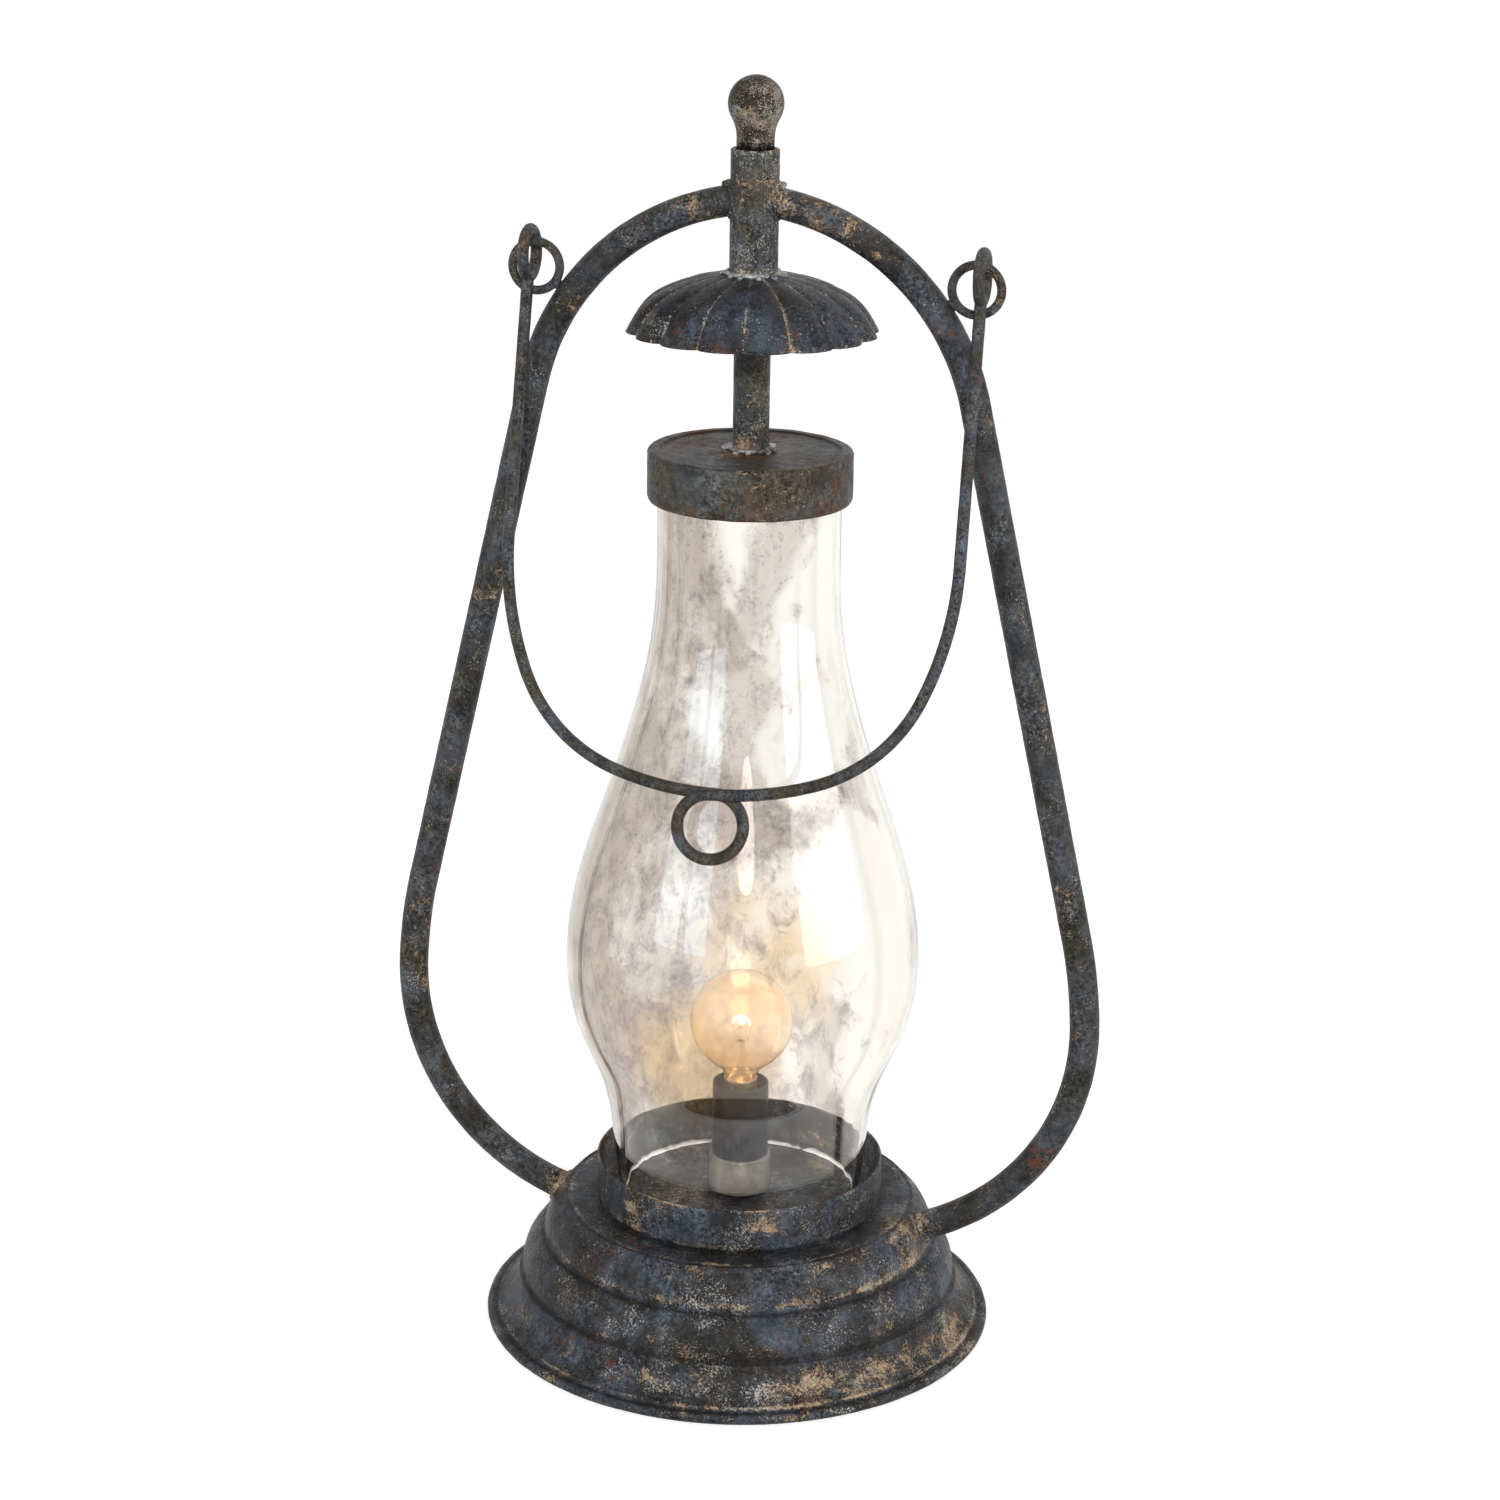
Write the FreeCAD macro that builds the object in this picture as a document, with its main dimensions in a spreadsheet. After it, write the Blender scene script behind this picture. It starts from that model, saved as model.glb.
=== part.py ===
import FreeCAD, Part
import Sketcher
import math
import os

os.makedirs("parts", exist_ok=True)
doc = FreeCAD.newDocument("LanternLamp")
V = FreeCAD.Vector

# Sizes in mm and degrees. Heights are measured from the table, radii from the lamp's axis.
sizes = {
    # gaps between pieces that touch, and round things that slide or turn in holes
    "seatGap": 0.3, "slideGap": 0.35,
    # spun base: stepped skirt with a wired edge, on a felt pad
    "padInset": 1.0, "padThick": 1.0, "rimBead": 2.7, "sheetGauge": 1.5, "baseTop": 71.0,
    "shoulderRadius": 95.2, "shoulderRound": 1.7, "grooveWidth": 2.0,
    "upperBandReach": 12.1, "upperBandHeight": 20.0, "upperBandRise": 1.6,
    "lowerBandReach": 12.0, "lowerBandHeight": 22.6, "lowerBandRise": 2.0,
    "flareReach": 16.2, "flareDip": 1.9,
    # cord inlet in the back of the skirt
    "inletHeight": 39.0, "inletTilt": 24.0, "inletBore": 3.2, "inletWall": 2.2,
    "inletFlange": 7.6, "inletFlangeThick": 3.0, "inletLength": 11.0,
    # gallery pan round the foot of the chimney
    "panRadius": 78.0, "panGauge": 1.6, "panHeight": 23.7,
    # blown glass chimney
    "chimneyFoot": 65.8, "chimneyHeight": 413.2, "chimneyWall": 3.0, "chimneyBulge": 94.9,
    "chimneyBulgeRise": 138.5, "chimneyNeck": 47.9, "chimneyNeckRise": 367.0,
    # cap over the chimney, lift rod and ball finial
    "capRadius": 53.4, "capDepth": 26.4, "capGauge": 1.8, "capRound": 3.0,
    "rodRadius": 9.5, "rodWall": 1.5, "rodLength": 166.0, "ballRadius": 14.25,
    # guide sleeve on the arch and the fluted smoke bell under it
    "sleeveWall": 2.65, "sleeveLength": 63.1, "bellDrop": 38.4, "bellHeight": 29.1,
    "bellRadius": 65.0, "bellTopRadius": 14.6, "bellGauge": 1.5, "fluteDepth": 2.7,
    "fluteCount": 16, "fluteTurn": 9.0,
    # bent frame tubes
    "tubeRadius": 8.0, "tubeWall": 1.5, "archHeight": 617.0, "archCentreX": -8.7,
    "archBend": 128.0, "legLean": 12.8, "elbowSoftBend": 275.0, "elbowSoftTurn": 10.45,
    "elbowBend": 128.0, "elbowTurn": 70.8,
    # fixed rings on the shoulders, and the bail that hangs in them
    "ringRadius": 12.6, "ringWire": 2.4, "ringPlace": 54.6, "bailWire": 3.2,
    "eyeRadius": 12.1, "eyeWire": 3.1, "eyeOutset": 3.0, "eyeSlack": 0.8, "bailStraight": 150.0,
    "bailBendOne": 175.0, "bailTurnOne": 23.0, "bailBendTwo": 85.0, "bailTurnTwo": 48.0,
    "loopRadius": 16.7,
    # lampholder on a threaded nipple
    "nippleRadius": 4.85, "nippleBore": 3.3, "nippleBelow": 14.0, "nutFlats": 14.5,
    "nutThick": 5.0, "washerRadius": 11.0, "washerThick": 1.0, "spacerRadius": 13.0,
    "spacerThick": 2.5, "footRadius": 16.9, "footHeight": 20.0, "footRound": 1.2,
    "coverRadius": 15.35, "coverWall": 1.2, "coverHeight": 40.8, "holderWall": 4.0,
    "holderFloor": 10.3, "holderHeight": 31.3, "holderShellWall": 0.5,
    # globe bulb with a small screw cap
    "globeRadius": 28.0, "globeWall": 0.8, "globeRise": 62.1, "neckRadius": 8.6,
    "bulbShell": 8.5, "bulbSheet": 0.4, "bulbShellHeight": 22.2, "skirtHeight": 9.0,
    "tipRadius": 2.6, "tipHeight": 1.7, "insulatorRadius": 6.8, "stemHeight": 26.8,
    "leadSpread": 4.6, "leadRadius": 0.4, "filamentRadius": 0.55, "filamentRise": 4.7,
}

# places that follow from the sizes
s = dict(sizes)
gap = s["seatGap"]
s["rimHeight"] = s["padThick"] + gap + s["rimBead"]
s["grooveUpperRadius"] = s["shoulderRadius"] + s["upperBandReach"]
s["grooveUpperHeight"] = s["baseTop"] - s["upperBandHeight"]
s["grooveLowerRadius"] = s["grooveUpperRadius"] + s["lowerBandReach"]
s["grooveLowerHeight"] = s["grooveUpperHeight"] - s["lowerBandHeight"]
s["rimRadius"] = s["grooveLowerRadius"] + s["flareReach"]
s["padRadius"] = s["rimRadius"] - s["padInset"]
s["panBottom"] = s["baseTop"] + gap
s["panFloor"] = s["panBottom"] + s["panGauge"] - 0.1
s["panTop"] = s["panBottom"] + s["panHeight"]
s["chimneyBottom"] = s["panFloor"] + gap
s["chimneyTop"] = s["chimneyBottom"] + s["chimneyHeight"]
s["capTop"] = s["chimneyTop"] + gap + s["capGauge"]
s["capBottom"] = s["capTop"] - s["capDepth"]
s["capDish"] = 0.8
s["rodBottom"] = s["capTop"] - s["capDish"] + gap
s["rodTop"] = s["rodBottom"] + s["rodLength"]
s["ballFlatRadius"] = s["rodRadius"] + 0.55
s["ballFlatDrop"] = math.sqrt(s["ballRadius"] ** 2 - s["ballFlatRadius"] ** 2)
s["ballHeight"] = s["rodTop"] + gap + s["ballFlatDrop"]
s["sleeveBore"] = s["rodRadius"] + s["slideGap"]
s["sleeveRadius"] = s["sleeveBore"] + s["sleeveWall"]
s["bellCrown"] = s["archHeight"] - s["bellDrop"]
s["sleeveBottom"] = s["bellCrown"] + gap
s["sleeveTop"] = s["sleeveBottom"] + s["sleeveLength"]
s["bellHole"] = s["sleeveBore"] + 0.1
s["nippleHole"] = s["nippleRadius"] + s["slideGap"]
s["spacerBottom"] = s["chimneyBottom"]
s["footBottom"] = s["spacerBottom"] + s["spacerThick"] + gap
s["footTop"] = s["footBottom"] + s["footHeight"]
s["coverBottom"] = s["footTop"] + gap
s["coverTop"] = s["coverBottom"] + s["coverHeight"]
s["holderBottom"] = s["coverBottom"] + s["coverWall"] + gap
s["holderTop"] = s["holderBottom"] + s["holderHeight"]
s["holderWell"] = s["holderBottom"] + s["holderFloor"]
s["holderShellInside"] = s["bulbShell"] + s["slideGap"] + 0.05
s["holderShellRadius"] = s["holderShellInside"] + s["holderShellWall"]
s["holderWellRadius"] = s["holderShellRadius"] + gap
s["holderRadius"] = s["holderWellRadius"] + s["holderWall"]
s["nippleBottom"] = s["baseTop"] - s["nippleBelow"]
s["nippleTop"] = s["holderWell"] - 3.5
s["nutWasherBottom"] = s["baseTop"] - s["sheetGauge"] - gap - s["washerThick"]
s["nutBottom"] = s["nutWasherBottom"] - gap - s["nutThick"]
s["contactBottom"] = s["nippleTop"] + gap
s["contactTop"] = s["holderWell"] + 1.6
s["tipBottom"] = s["contactTop"] + gap
s["insulatorBottom"] = s["tipBottom"] + s["tipHeight"] + gap
s["insulatorShoulder"] = s["insulatorBottom"] + 5.1
s["shellBottom"] = s["insulatorShoulder"] + 0.4
s["shellTop"] = s["shellBottom"] + s["bulbShellHeight"]
s["skirtBottom"] = s["shellTop"] - s["skirtHeight"]
s["bulbSkirt"] = s["neckRadius"] + gap + s["bulbSheet"]
s["globeHeight"] = s["tipBottom"] + s["globeRise"]
s["neckBottom"] = s["skirtBottom"] + 2.9
s["stemBottom"] = s["neckBottom"] + gap
s["stemTop"] = s["stemBottom"] + s["stemHeight"]

sheet = doc.addObject("Spreadsheet::Sheet", "Dims")
for row, (name, value) in enumerate(s.items(), start=1):
    sheet.set("A%d" % row, name)
    sheet.set("B%d" % row, "%.6f" % value)
    sheet.setAlias("B%d" % row, name)
doc.recompute()


def size(name):
    return float(sheet.get(name))


def amount(term):
    """A length: a number, a name in the sheet, or (name, offset)."""
    if isinstance(term, str):
        return size(term)
    if isinstance(term, tuple):
        return size(term[0]) + term[1]
    return float(term)


def bind(item, prop, term):
    if isinstance(term, str):
        item.setExpression(prop, "Dims." + term)
    elif isinstance(term, tuple):
        item.setExpression(prop, "Dims.%s + %.6f" % term)


def planeOf(body, role):
    for feature in body.Origin.OriginFeatures:
        if feature.Role == role:
            return feature
    raise ValueError(role)


def newBody(label, placement=None):
    body = doc.addObject("PartDesign::Body", label)
    body.Label = label
    if placement is not None:
        body.Placement = placement
    return body


def newSketch(body, role, offset=None):
    sketch = body.newObject("Sketcher::SketchObject", body.Name + "Sketch")
    sketch.AttachmentSupport = [(planeOf(body, role), "")]
    sketch.MapMode = "FlatFace"
    if offset is not None:
        sketch.AttachmentOffset = offset
    sketch.Visibility = False
    return sketch


def raised(height):
    return FreeCAD.Placement(V(0, 0, amount(height)), FreeCAD.Rotation())


def pinPoint(sketch, geo, pos, x, y):
    """Hold one end of a curve at its two coordinates."""
    for kind, term, axis in (("DistanceX", x, -2), ("DistanceY", y, -1)):
        if not isinstance(term, (str, tuple)) and abs(term) < 1e-9:
            sketch.addConstraint(Sketcher.Constraint("PointOnObject", geo, pos, axis))
        else:
            index = sketch.addConstraint(Sketcher.Constraint(kind, -1, 1, geo, pos, amount(term)))
            bind(sketch, "Constraints[%d]" % index, term)


def drawOutline(sketch, steps):
    """A closed outline. Steps are ("start", x, y), then ("line", x, y), ("bow", rise, x, y) for an
    arc that rises to the left of its chord, or ("curve", points, x, y) for a smooth curve."""
    moves = list(steps[1:])
    if moves[-1][-2:] != steps[0][1:]:
        moves.append(("line",) + steps[0][1:])
    x, y = steps[0][1:]
    drawn = []
    for move in moves:
        here = V(amount(x), amount(y), 0)
        there = V(amount(move[-2]), amount(move[-1]), 0)
        if move[0] == "line":
            curve = Part.LineSegment(here, there)
        elif move[0] == "bow":
            chord = there - here
            middle = (here + there) * 0.5 + V(-chord.y, chord.x, 0).normalize() * move[1]
            curve = Part.Arc(here, middle, there)
        else:
            curve = Part.BSplineCurve()
            curve.interpolate([here] + [V(a, b, 0) for a, b in move[1]] + [there])
        geo = sketch.addGeometry(curve, False)
        forward = sketch.getPoint(geo, 1).distanceToPoint(here) < 1e-6
        drawn.append((geo, 1 if forward else 2, 2 if forward else 1, x, y))
        x, y = move[-2:]
    for index, (geo, first, last, a, b) in enumerate(drawn):
        pinPoint(sketch, geo, first, a, b)
        following = drawn[(index + 1) % len(drawn)]
        sketch.addConstraint(Sketcher.Constraint("Coincident", geo, last, following[0], following[1]))


def drawCircle(sketch, x, y, radius):
    circle = Part.Circle(V(amount(x), amount(y), 0), V(0, 0, 1), amount(radius))
    geo = sketch.addGeometry(circle, False)
    pinPoint(sketch, geo, 3, x, y)
    index = sketch.addConstraint(Sketcher.Constraint("Radius", geo, amount(radius)))
    bind(sketch, "Constraints[%d]" % index, radius)


def revolved(label, steps, placement=None):
    """A turned or spun piece: an outline in the XZ plane, swung about the vertical."""
    body = newBody(label, placement)
    sketch = newSketch(body, "XZ_Plane")
    drawOutline(sketch, steps)
    turn = body.newObject("PartDesign::Revolution", label + "Turn")
    turn.Profile = sketch
    turn.ReferenceAxis = (sketch, ["V_Axis"])
    turn.Angle = 360
    doc.recompute()
    return body


def extruded(label, bottom, height, outer, inner=None, flats=None):
    """A disc, ring or tube, or a hexagon if flats is given, extruded upward."""
    body = newBody(label)
    sketch = newSketch(body, "XY_Plane", raised(bottom))
    bind(sketch, "AttachmentOffset.Base.z", bottom)
    if flats is None:
        drawCircle(sketch, 0, 0, outer)
    else:
        corner = amount(flats) / math.sqrt(3)
        points = [V(corner * math.cos(math.pi * k / 3), corner * math.sin(math.pi * k / 3), 0)
                  for k in range(6)]
        for k in range(6):
            sketch.addGeometry(Part.LineSegment(points[k], points[(k + 1) % 6]), False)
    if inner is not None:
        drawCircle(sketch, 0, 0, inner)
    pad = body.newObject("PartDesign::Pad", label + "Pad")
    pad.Profile = sketch
    pad.Length = amount(height)
    bind(pad, "Length", height)
    doc.recompute()
    return body


def mustShrink(body, before):
    doc.recompute()
    if body.Shape.Volume > before - 1.0:
        raise ValueError("nothing was cut from " + body.Label)


def cutRound(body, role, offset, radius, depth):
    """A round hole, half its depth to each side of the sketch plane."""
    before = body.Shape.Volume
    sketch = newSketch(body, role, offset)
    drawCircle(sketch, 0, 0, radius)
    pocket = body.newObject("PartDesign::Pocket", body.Name + "Hole")
    pocket.Profile = sketch
    pocket.Midplane = True
    pocket.Length = depth
    mustShrink(body, before)


def coped(body, steps):
    """Cut a tube end to the form of the round piece that it is welded to."""
    before = body.Shape.Volume
    sketch = newSketch(body, "XZ_Plane")
    drawOutline(sketch, steps)
    groove = body.newObject("PartDesign::Groove", body.Name + "Cope")
    groove.Profile = sketch
    groove.ReferenceAxis = (sketch, ["V_Axis"])
    groove.Angle = 360
    mustShrink(body, before)


def dress(body, kind, radius, height, amountMm):
    """A fillet or chamfer on the round edges of one radius at one height."""
    before = body.Tip
    names = []
    for index, edge in enumerate(body.Shape.Edges, start=1):
        curve = edge.Curve
        if isinstance(curve, Part.Circle) and abs(curve.Radius - size(radius)) < 0.01 \
                and abs(curve.Center.z - size(height)) < 0.01:
            names.append("Edge%d" % index)
    feature = body.newObject("PartDesign::" + kind, body.Name + kind)
    feature.Base = (before, names)
    setattr(feature, "Radius" if kind == "Fillet" else "Size", amountMm)
    body.Tip = feature
    doc.recompute()


nodes = []

# ---- base: felt pad, spun shell, cord bushing, gallery pan
nodes.append(extruded("base_pad", 0, "padThick", "padRadius"))

# flat top, two rounded bands with grooves under them, hollow flare, edge rolled round a wire;
# the inside follows the outside at the gauge of the sheet
gauge = size("sheetGauge")
groove = size("grooveWidth")
bead = size("rimBead")
round_ = size("shoulderRound")
upperRise = size("upperBandRise")
lowerRise = size("lowerBandRise")
shell = revolved("base_shell", [
    ("start", "nippleHole", "baseTop"),
    ("line", "shoulderRadius", "baseTop"),
    ("bow", 0.35 * round_, ("shoulderRadius", round_), ("baseTop", -round_)),
    ("bow", upperRise, "grooveUpperRadius", "grooveUpperHeight"),
    ("bow", -0.45, ("grooveUpperRadius", 0.75 * groove), ("grooveUpperHeight", -groove)),
    ("bow", lowerRise, "grooveLowerRadius", "grooveLowerHeight"),
    ("bow", -0.5, ("grooveLowerRadius", 0.85 * groove), ("grooveLowerHeight", -1.1 * groove)),
    ("bow", -size("flareDip"), ("rimRadius", -4.5), ("rimHeight", 4.6)),
    ("bow", 0.5, ("rimRadius", -3.0), ("rimHeight", 3.9)),
    ("bow", -0.4, ("rimRadius", -0.47 * bead), ("rimHeight", 0.883 * bead)),
    ("bow", 1.81 * bead, ("rimRadius", -0.707 * bead), ("rimHeight", -0.707 * bead)),
    ("line", ("rimRadius", -4.6 - 0.5 * gauge), ("rimHeight", 4.4 - gauge)),
    ("bow", size("flareDip"), ("grooveLowerRadius", 0.85 * groove - 1.1 * gauge),
     ("grooveLowerHeight", -1.1 * groove - 0.6 * gauge)),
    ("line", ("grooveLowerRadius", -1.1 * gauge), "grooveLowerHeight"),
    ("bow", -lowerRise, ("grooveUpperRadius", 0.75 * groove - 1.1 * gauge),
     ("grooveUpperHeight", -groove - 0.5 * gauge)),
    ("line", ("grooveUpperRadius", -1.1 * gauge), "grooveUpperHeight"),
    ("bow", -upperRise, ("shoulderRadius", round_ - gauge), ("baseTop", -round_ - 0.7 * gauge)),
    ("line", ("shoulderRadius", -0.4 * gauge), ("baseTop", -gauge)),
    ("line", "nippleHole", ("baseTop", -gauge)),
])


def lowerBand(height):
    """Outside radius of the lower band at a height, from its chord and its rise."""
    top = V(size("grooveUpperRadius") + 0.75 * groove, size("grooveUpperHeight") - groove, 0)
    foot = V(size("grooveLowerRadius"), size("grooveLowerHeight"), 0)
    part = (top.y - height) / (top.y - foot.y)
    return top.x + part * (foot.x - top.x) + 4 * lowerRise * part * (1 - part)


tilt = size("inletTilt")
inletRadius = lowerBand(size("inletHeight")) + gap + 0.2
inletAt = V(0, size("inletHeight"), -inletRadius)
cutRound(shell, "XZ_Plane", FreeCAD.Placement(inletAt, FreeCAD.Rotation(V(1, 0, 0), tilt)),
         ("inletBore", size("inletWall") + size("slideGap")), 12.0 * gauge)
nodes.append(shell)

# flanged bushing, square to the sloping wall, its flange outside
thick = size("inletFlangeThick")
tail = size("inletLength") - thick
bushing = revolved("cord_bushing", [
    ("start", "inletBore", thick - 1.0),
    ("bow", 0.35, ("inletBore", 1.0), thick),
    ("line", ("inletFlange", -1.0), thick),
    ("bow", 0.35, "inletFlange", thick - 1.2),
    ("line", "inletFlange", 0),
    ("line", ("inletBore", size("inletWall")), 0),
    ("line", ("inletBore", size("inletWall")), 0.6 - tail),
    ("line", ("inletBore", size("inletWall") - 0.6), -tail),
    ("line", "inletBore", -tail),
], FreeCAD.Placement(V(0, inletRadius, size("inletHeight")), FreeCAD.Rotation(V(1, 0, 0), tilt - 90)))
nodes.append(bushing)

# shallow pan with a rounded brim
panGauge = size("panGauge")
nodes.append(revolved("gallery_pan", [
    ("start", "nippleHole", "panBottom"),
    ("line", ("panRadius", -1.5), "panBottom"),
    ("bow", -0.44, "panRadius", ("panBottom", 1.5)),
    ("line", "panRadius", ("panTop", -0.5 * panGauge)),
    ("bow", -0.5 * panGauge, ("panRadius", -panGauge), ("panTop", -0.5 * panGauge)),
    ("line", ("panRadius", -panGauge), ("panFloor", 0.9)),
    ("bow", 0.26, ("panRadius", -panGauge - 0.9), "panFloor"),
    ("line", "nippleHole", "panFloor"),
]))

# ---- glass chimney
# blown outline: shares of the way from the foot to the bulge, then from the bulge to the neck
footToBulge = [(0.143, 0.076), (0.322, 0.172), (0.52, 0.405), (0.682, 0.735), (0.852, 0.955)]
bulgeToNeck = [(0.13, 0.062), (0.261, 0.223), (0.391, 0.438), (0.522, 0.645), (0.652, 0.823),
               (0.783, 0.945), (0.913, 0.994)]


def along(start, end, shares):
    return [(start[0] + across * (end[0] - start[0]), start[1] + up * (end[1] - start[1]))
            for up, across in shares]


lip = 0.5 * size("chimneyWall")
chimneyWaist = (size("chimneyFoot"), size("chimneyBottom") + lip)
chimneyWide = (size("chimneyBulge"), size("chimneyBottom") + size("chimneyBulgeRise"))
chimneyNarrow = (size("chimneyNeck"), size("chimneyBottom") + size("chimneyNeckRise"))
chimneySwell = along(chimneyWaist, chimneyWide, footToBulge) + [chimneyWide] \
    + along(chimneyWide, chimneyNarrow, bulgeToNeck) + [chimneyNarrow]
chimneyInside = [(radius - 2 * lip, height) for radius, height in reversed(chimneySwell)]
nodes.append(revolved("chimney_glass", [
    ("start", "chimneyFoot", ("chimneyBottom", lip)),
    ("curve", chimneySwell, "chimneyNeck", ("chimneyTop", -lip)),
    ("bow", -lip, ("chimneyNeck", -2 * lip), ("chimneyTop", -lip)),
    ("curve", chimneyInside, ("chimneyFoot", -2 * lip), ("chimneyBottom", lip)),
    ("bow", -lip, "chimneyFoot", ("chimneyBottom", lip)),
]))

# ---- lifting group: cap, rod and ball finial
capGauge = size("capGauge")
capRound = size("capRound")
capDish = size("capDish")
nodes.append(revolved("chimney_cap", [
    ("start", 0, ("capTop", -capDish)),
    ("line", ("capRadius", -capRound - 4.6), ("capTop", -capDish)),
    ("bow", -0.2, ("capRadius", -capRound - 3.2), "capTop"),
    ("line", ("capRadius", -capRound), "capTop"),
    ("bow", 0.293 * capRound * 1.414, "capRadius", ("capTop", -capRound)),
    ("line", "capRadius", ("capBottom", 3.0)),
    ("bow", 0.3, ("capRadius", -0.9), "capBottom"),
    ("line", ("capRadius", -0.6 - capGauge), ("capBottom", 0.5)),
    ("bow", -0.2, ("capRadius", -capGauge), ("capBottom", 3.2)),
    ("line", ("capRadius", -capGauge), ("capTop", -capGauge - 1.5)),
    ("bow", -0.44, ("capRadius", -capGauge - 1.5), ("capTop", -capGauge)),
    ("line", 0, ("capTop", -capGauge)),
]))
nodes.append(extruded("lift_rod", "rodBottom", "rodLength", "rodRadius",
                      ("rodRadius", -size("rodWall"))))

# ball with a small flat where it is fixed to the rod
ballBow = size("ballRadius") + size("ballFlatDrop")
ballChord = math.hypot(size("ballFlatRadius"), ballBow)
nodes.append(revolved("finial_ball", [
    ("start", 0, ("ballHeight", -size("ballFlatDrop"))),
    ("line", "ballFlatRadius", ("ballHeight", -size("ballFlatDrop"))),
    ("bow", math.sqrt(size("ballRadius") ** 2 - 0.25 * ballChord ** 2) - size("ballRadius"),
     0, ("ballHeight", size("ballRadius"))),
]))

# ---- guide sleeve and smoke bell
sleeve = extruded("guide_sleeve", "sleeveBottom", "sleeveLength", "sleeveRadius", "sleeveBore")
dress(sleeve, "Chamfer", "sleeveRadius", "sleeveTop", 0.25 * size("sleeveWall"))
dress(sleeve, "Chamfer", "sleeveBore", "sleeveTop", 0.2 * size("sleeveWall"))
nodes.append(sleeve)


def fluteSketch(body, crest, valley, height):
    """A ring of outward lobes that meet in sharp valleys."""
    sketch = newSketch(body, "XY_Plane", raised(height))
    step = 2 * math.pi / size("fluteCount")
    for index in range(int(size("fluteCount"))):
        start = math.radians(size("fluteTurn")) + index * step
        first, middle, last = [V(radius * math.cos(angle), radius * math.sin(angle), 0)
                               for radius, angle in ((valley, start), (crest, start + 0.5 * step),
                                                     (valley, start + step))]
        sketch.addGeometry(Part.Arc(first, middle, last), False)
    return sketch


def fluteLoft(body, kind, levels):
    sketches = [fluteSketch(body, *level) for level in levels]
    loft = body.newObject("PartDesign::" + kind, body.Name + kind)
    loft.Profile = sketches[0]
    loft.Sections = sketches[1:]
    loft.Ruled = False
    doc.recompute()


# the dome from rim to crown: shares of the way in and of the way up, and the flutes' depth left
bellDome = [(0.0, 0.0, 1.0), (0.075, 0.237, 0.9), (0.206, 0.519, 0.75), (0.417, 0.746, 0.5),
            (0.724, 0.924, 0.25), (1.0, 1.0, 0.1)]
# slope of the dome at each level, which sets how far the inside lies inward and how far below
bellNormal = [(0.8, 0.0), (0.8, 0.55), (0.7, 0.72), (0.45, 0.9), (0.2, 1.0), (0.3, 1.0)]
bellRim = size("bellCrown") - size("bellHeight")
reach = size("bellRadius") - size("bellTopRadius")
bellGauge = size("bellGauge")
bellOutside = []
bellInside = []
for (inward, up, depth), (across, below) in zip(bellDome, bellNormal):
    crest = size("bellRadius") - inward * reach
    height = bellRim + up * size("bellHeight")
    valley = crest - depth * size("fluteDepth")
    bellOutside.append((crest, valley, height))
    bellInside.append((crest - across * bellGauge, valley - across * bellGauge,
                       height - below * bellGauge))
# the inside starts just under the rim, so that the rim is cut right through
crest, valley, height = bellInside[0]
bellInside[0] = (crest + 0.4, valley + 0.4, height - 0.8)
bell = newBody("smoke_bell")
fluteLoft(bell, "AdditiveLoft", bellOutside)
solidBell = bell.Shape.Volume
fluteLoft(bell, "SubtractiveLoft", bellInside)
if bell.Shape.Volume > 0.5 * solidBell:
    raise ValueError("the bell is not hollow")
cutRound(bell, "XY_Plane", raised("bellCrown"), "bellHole", 6.0 * bellGauge)
nodes.append(bell)

# ---- frame tubes
archCentre = V(size("archCentreX"), size("archHeight") - size("archBend"), 0)


def onArch(angle, radius):
    """A point beside the arch, angle in degrees from its top."""
    turn = math.radians(angle)
    return archCentre + V(radius * math.sin(turn), radius * math.cos(turn), 0)


def heading(angle):
    """Direction along the tube, angle in degrees below level."""
    return V(math.cos(math.radians(angle)), -math.sin(math.radians(angle)), 0)


def bendFrom(start, angle, radius, turn):
    """Middle and end of a bend that starts at a point with a heading."""
    centre = start - V(math.sin(math.radians(angle)), math.cos(math.radians(angle)), 0) * radius
    return [centre + V(math.sin(math.radians(a)), math.cos(math.radians(a)), 0) * radius
            for a in (angle + 0.5 * turn, angle + turn)]


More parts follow.
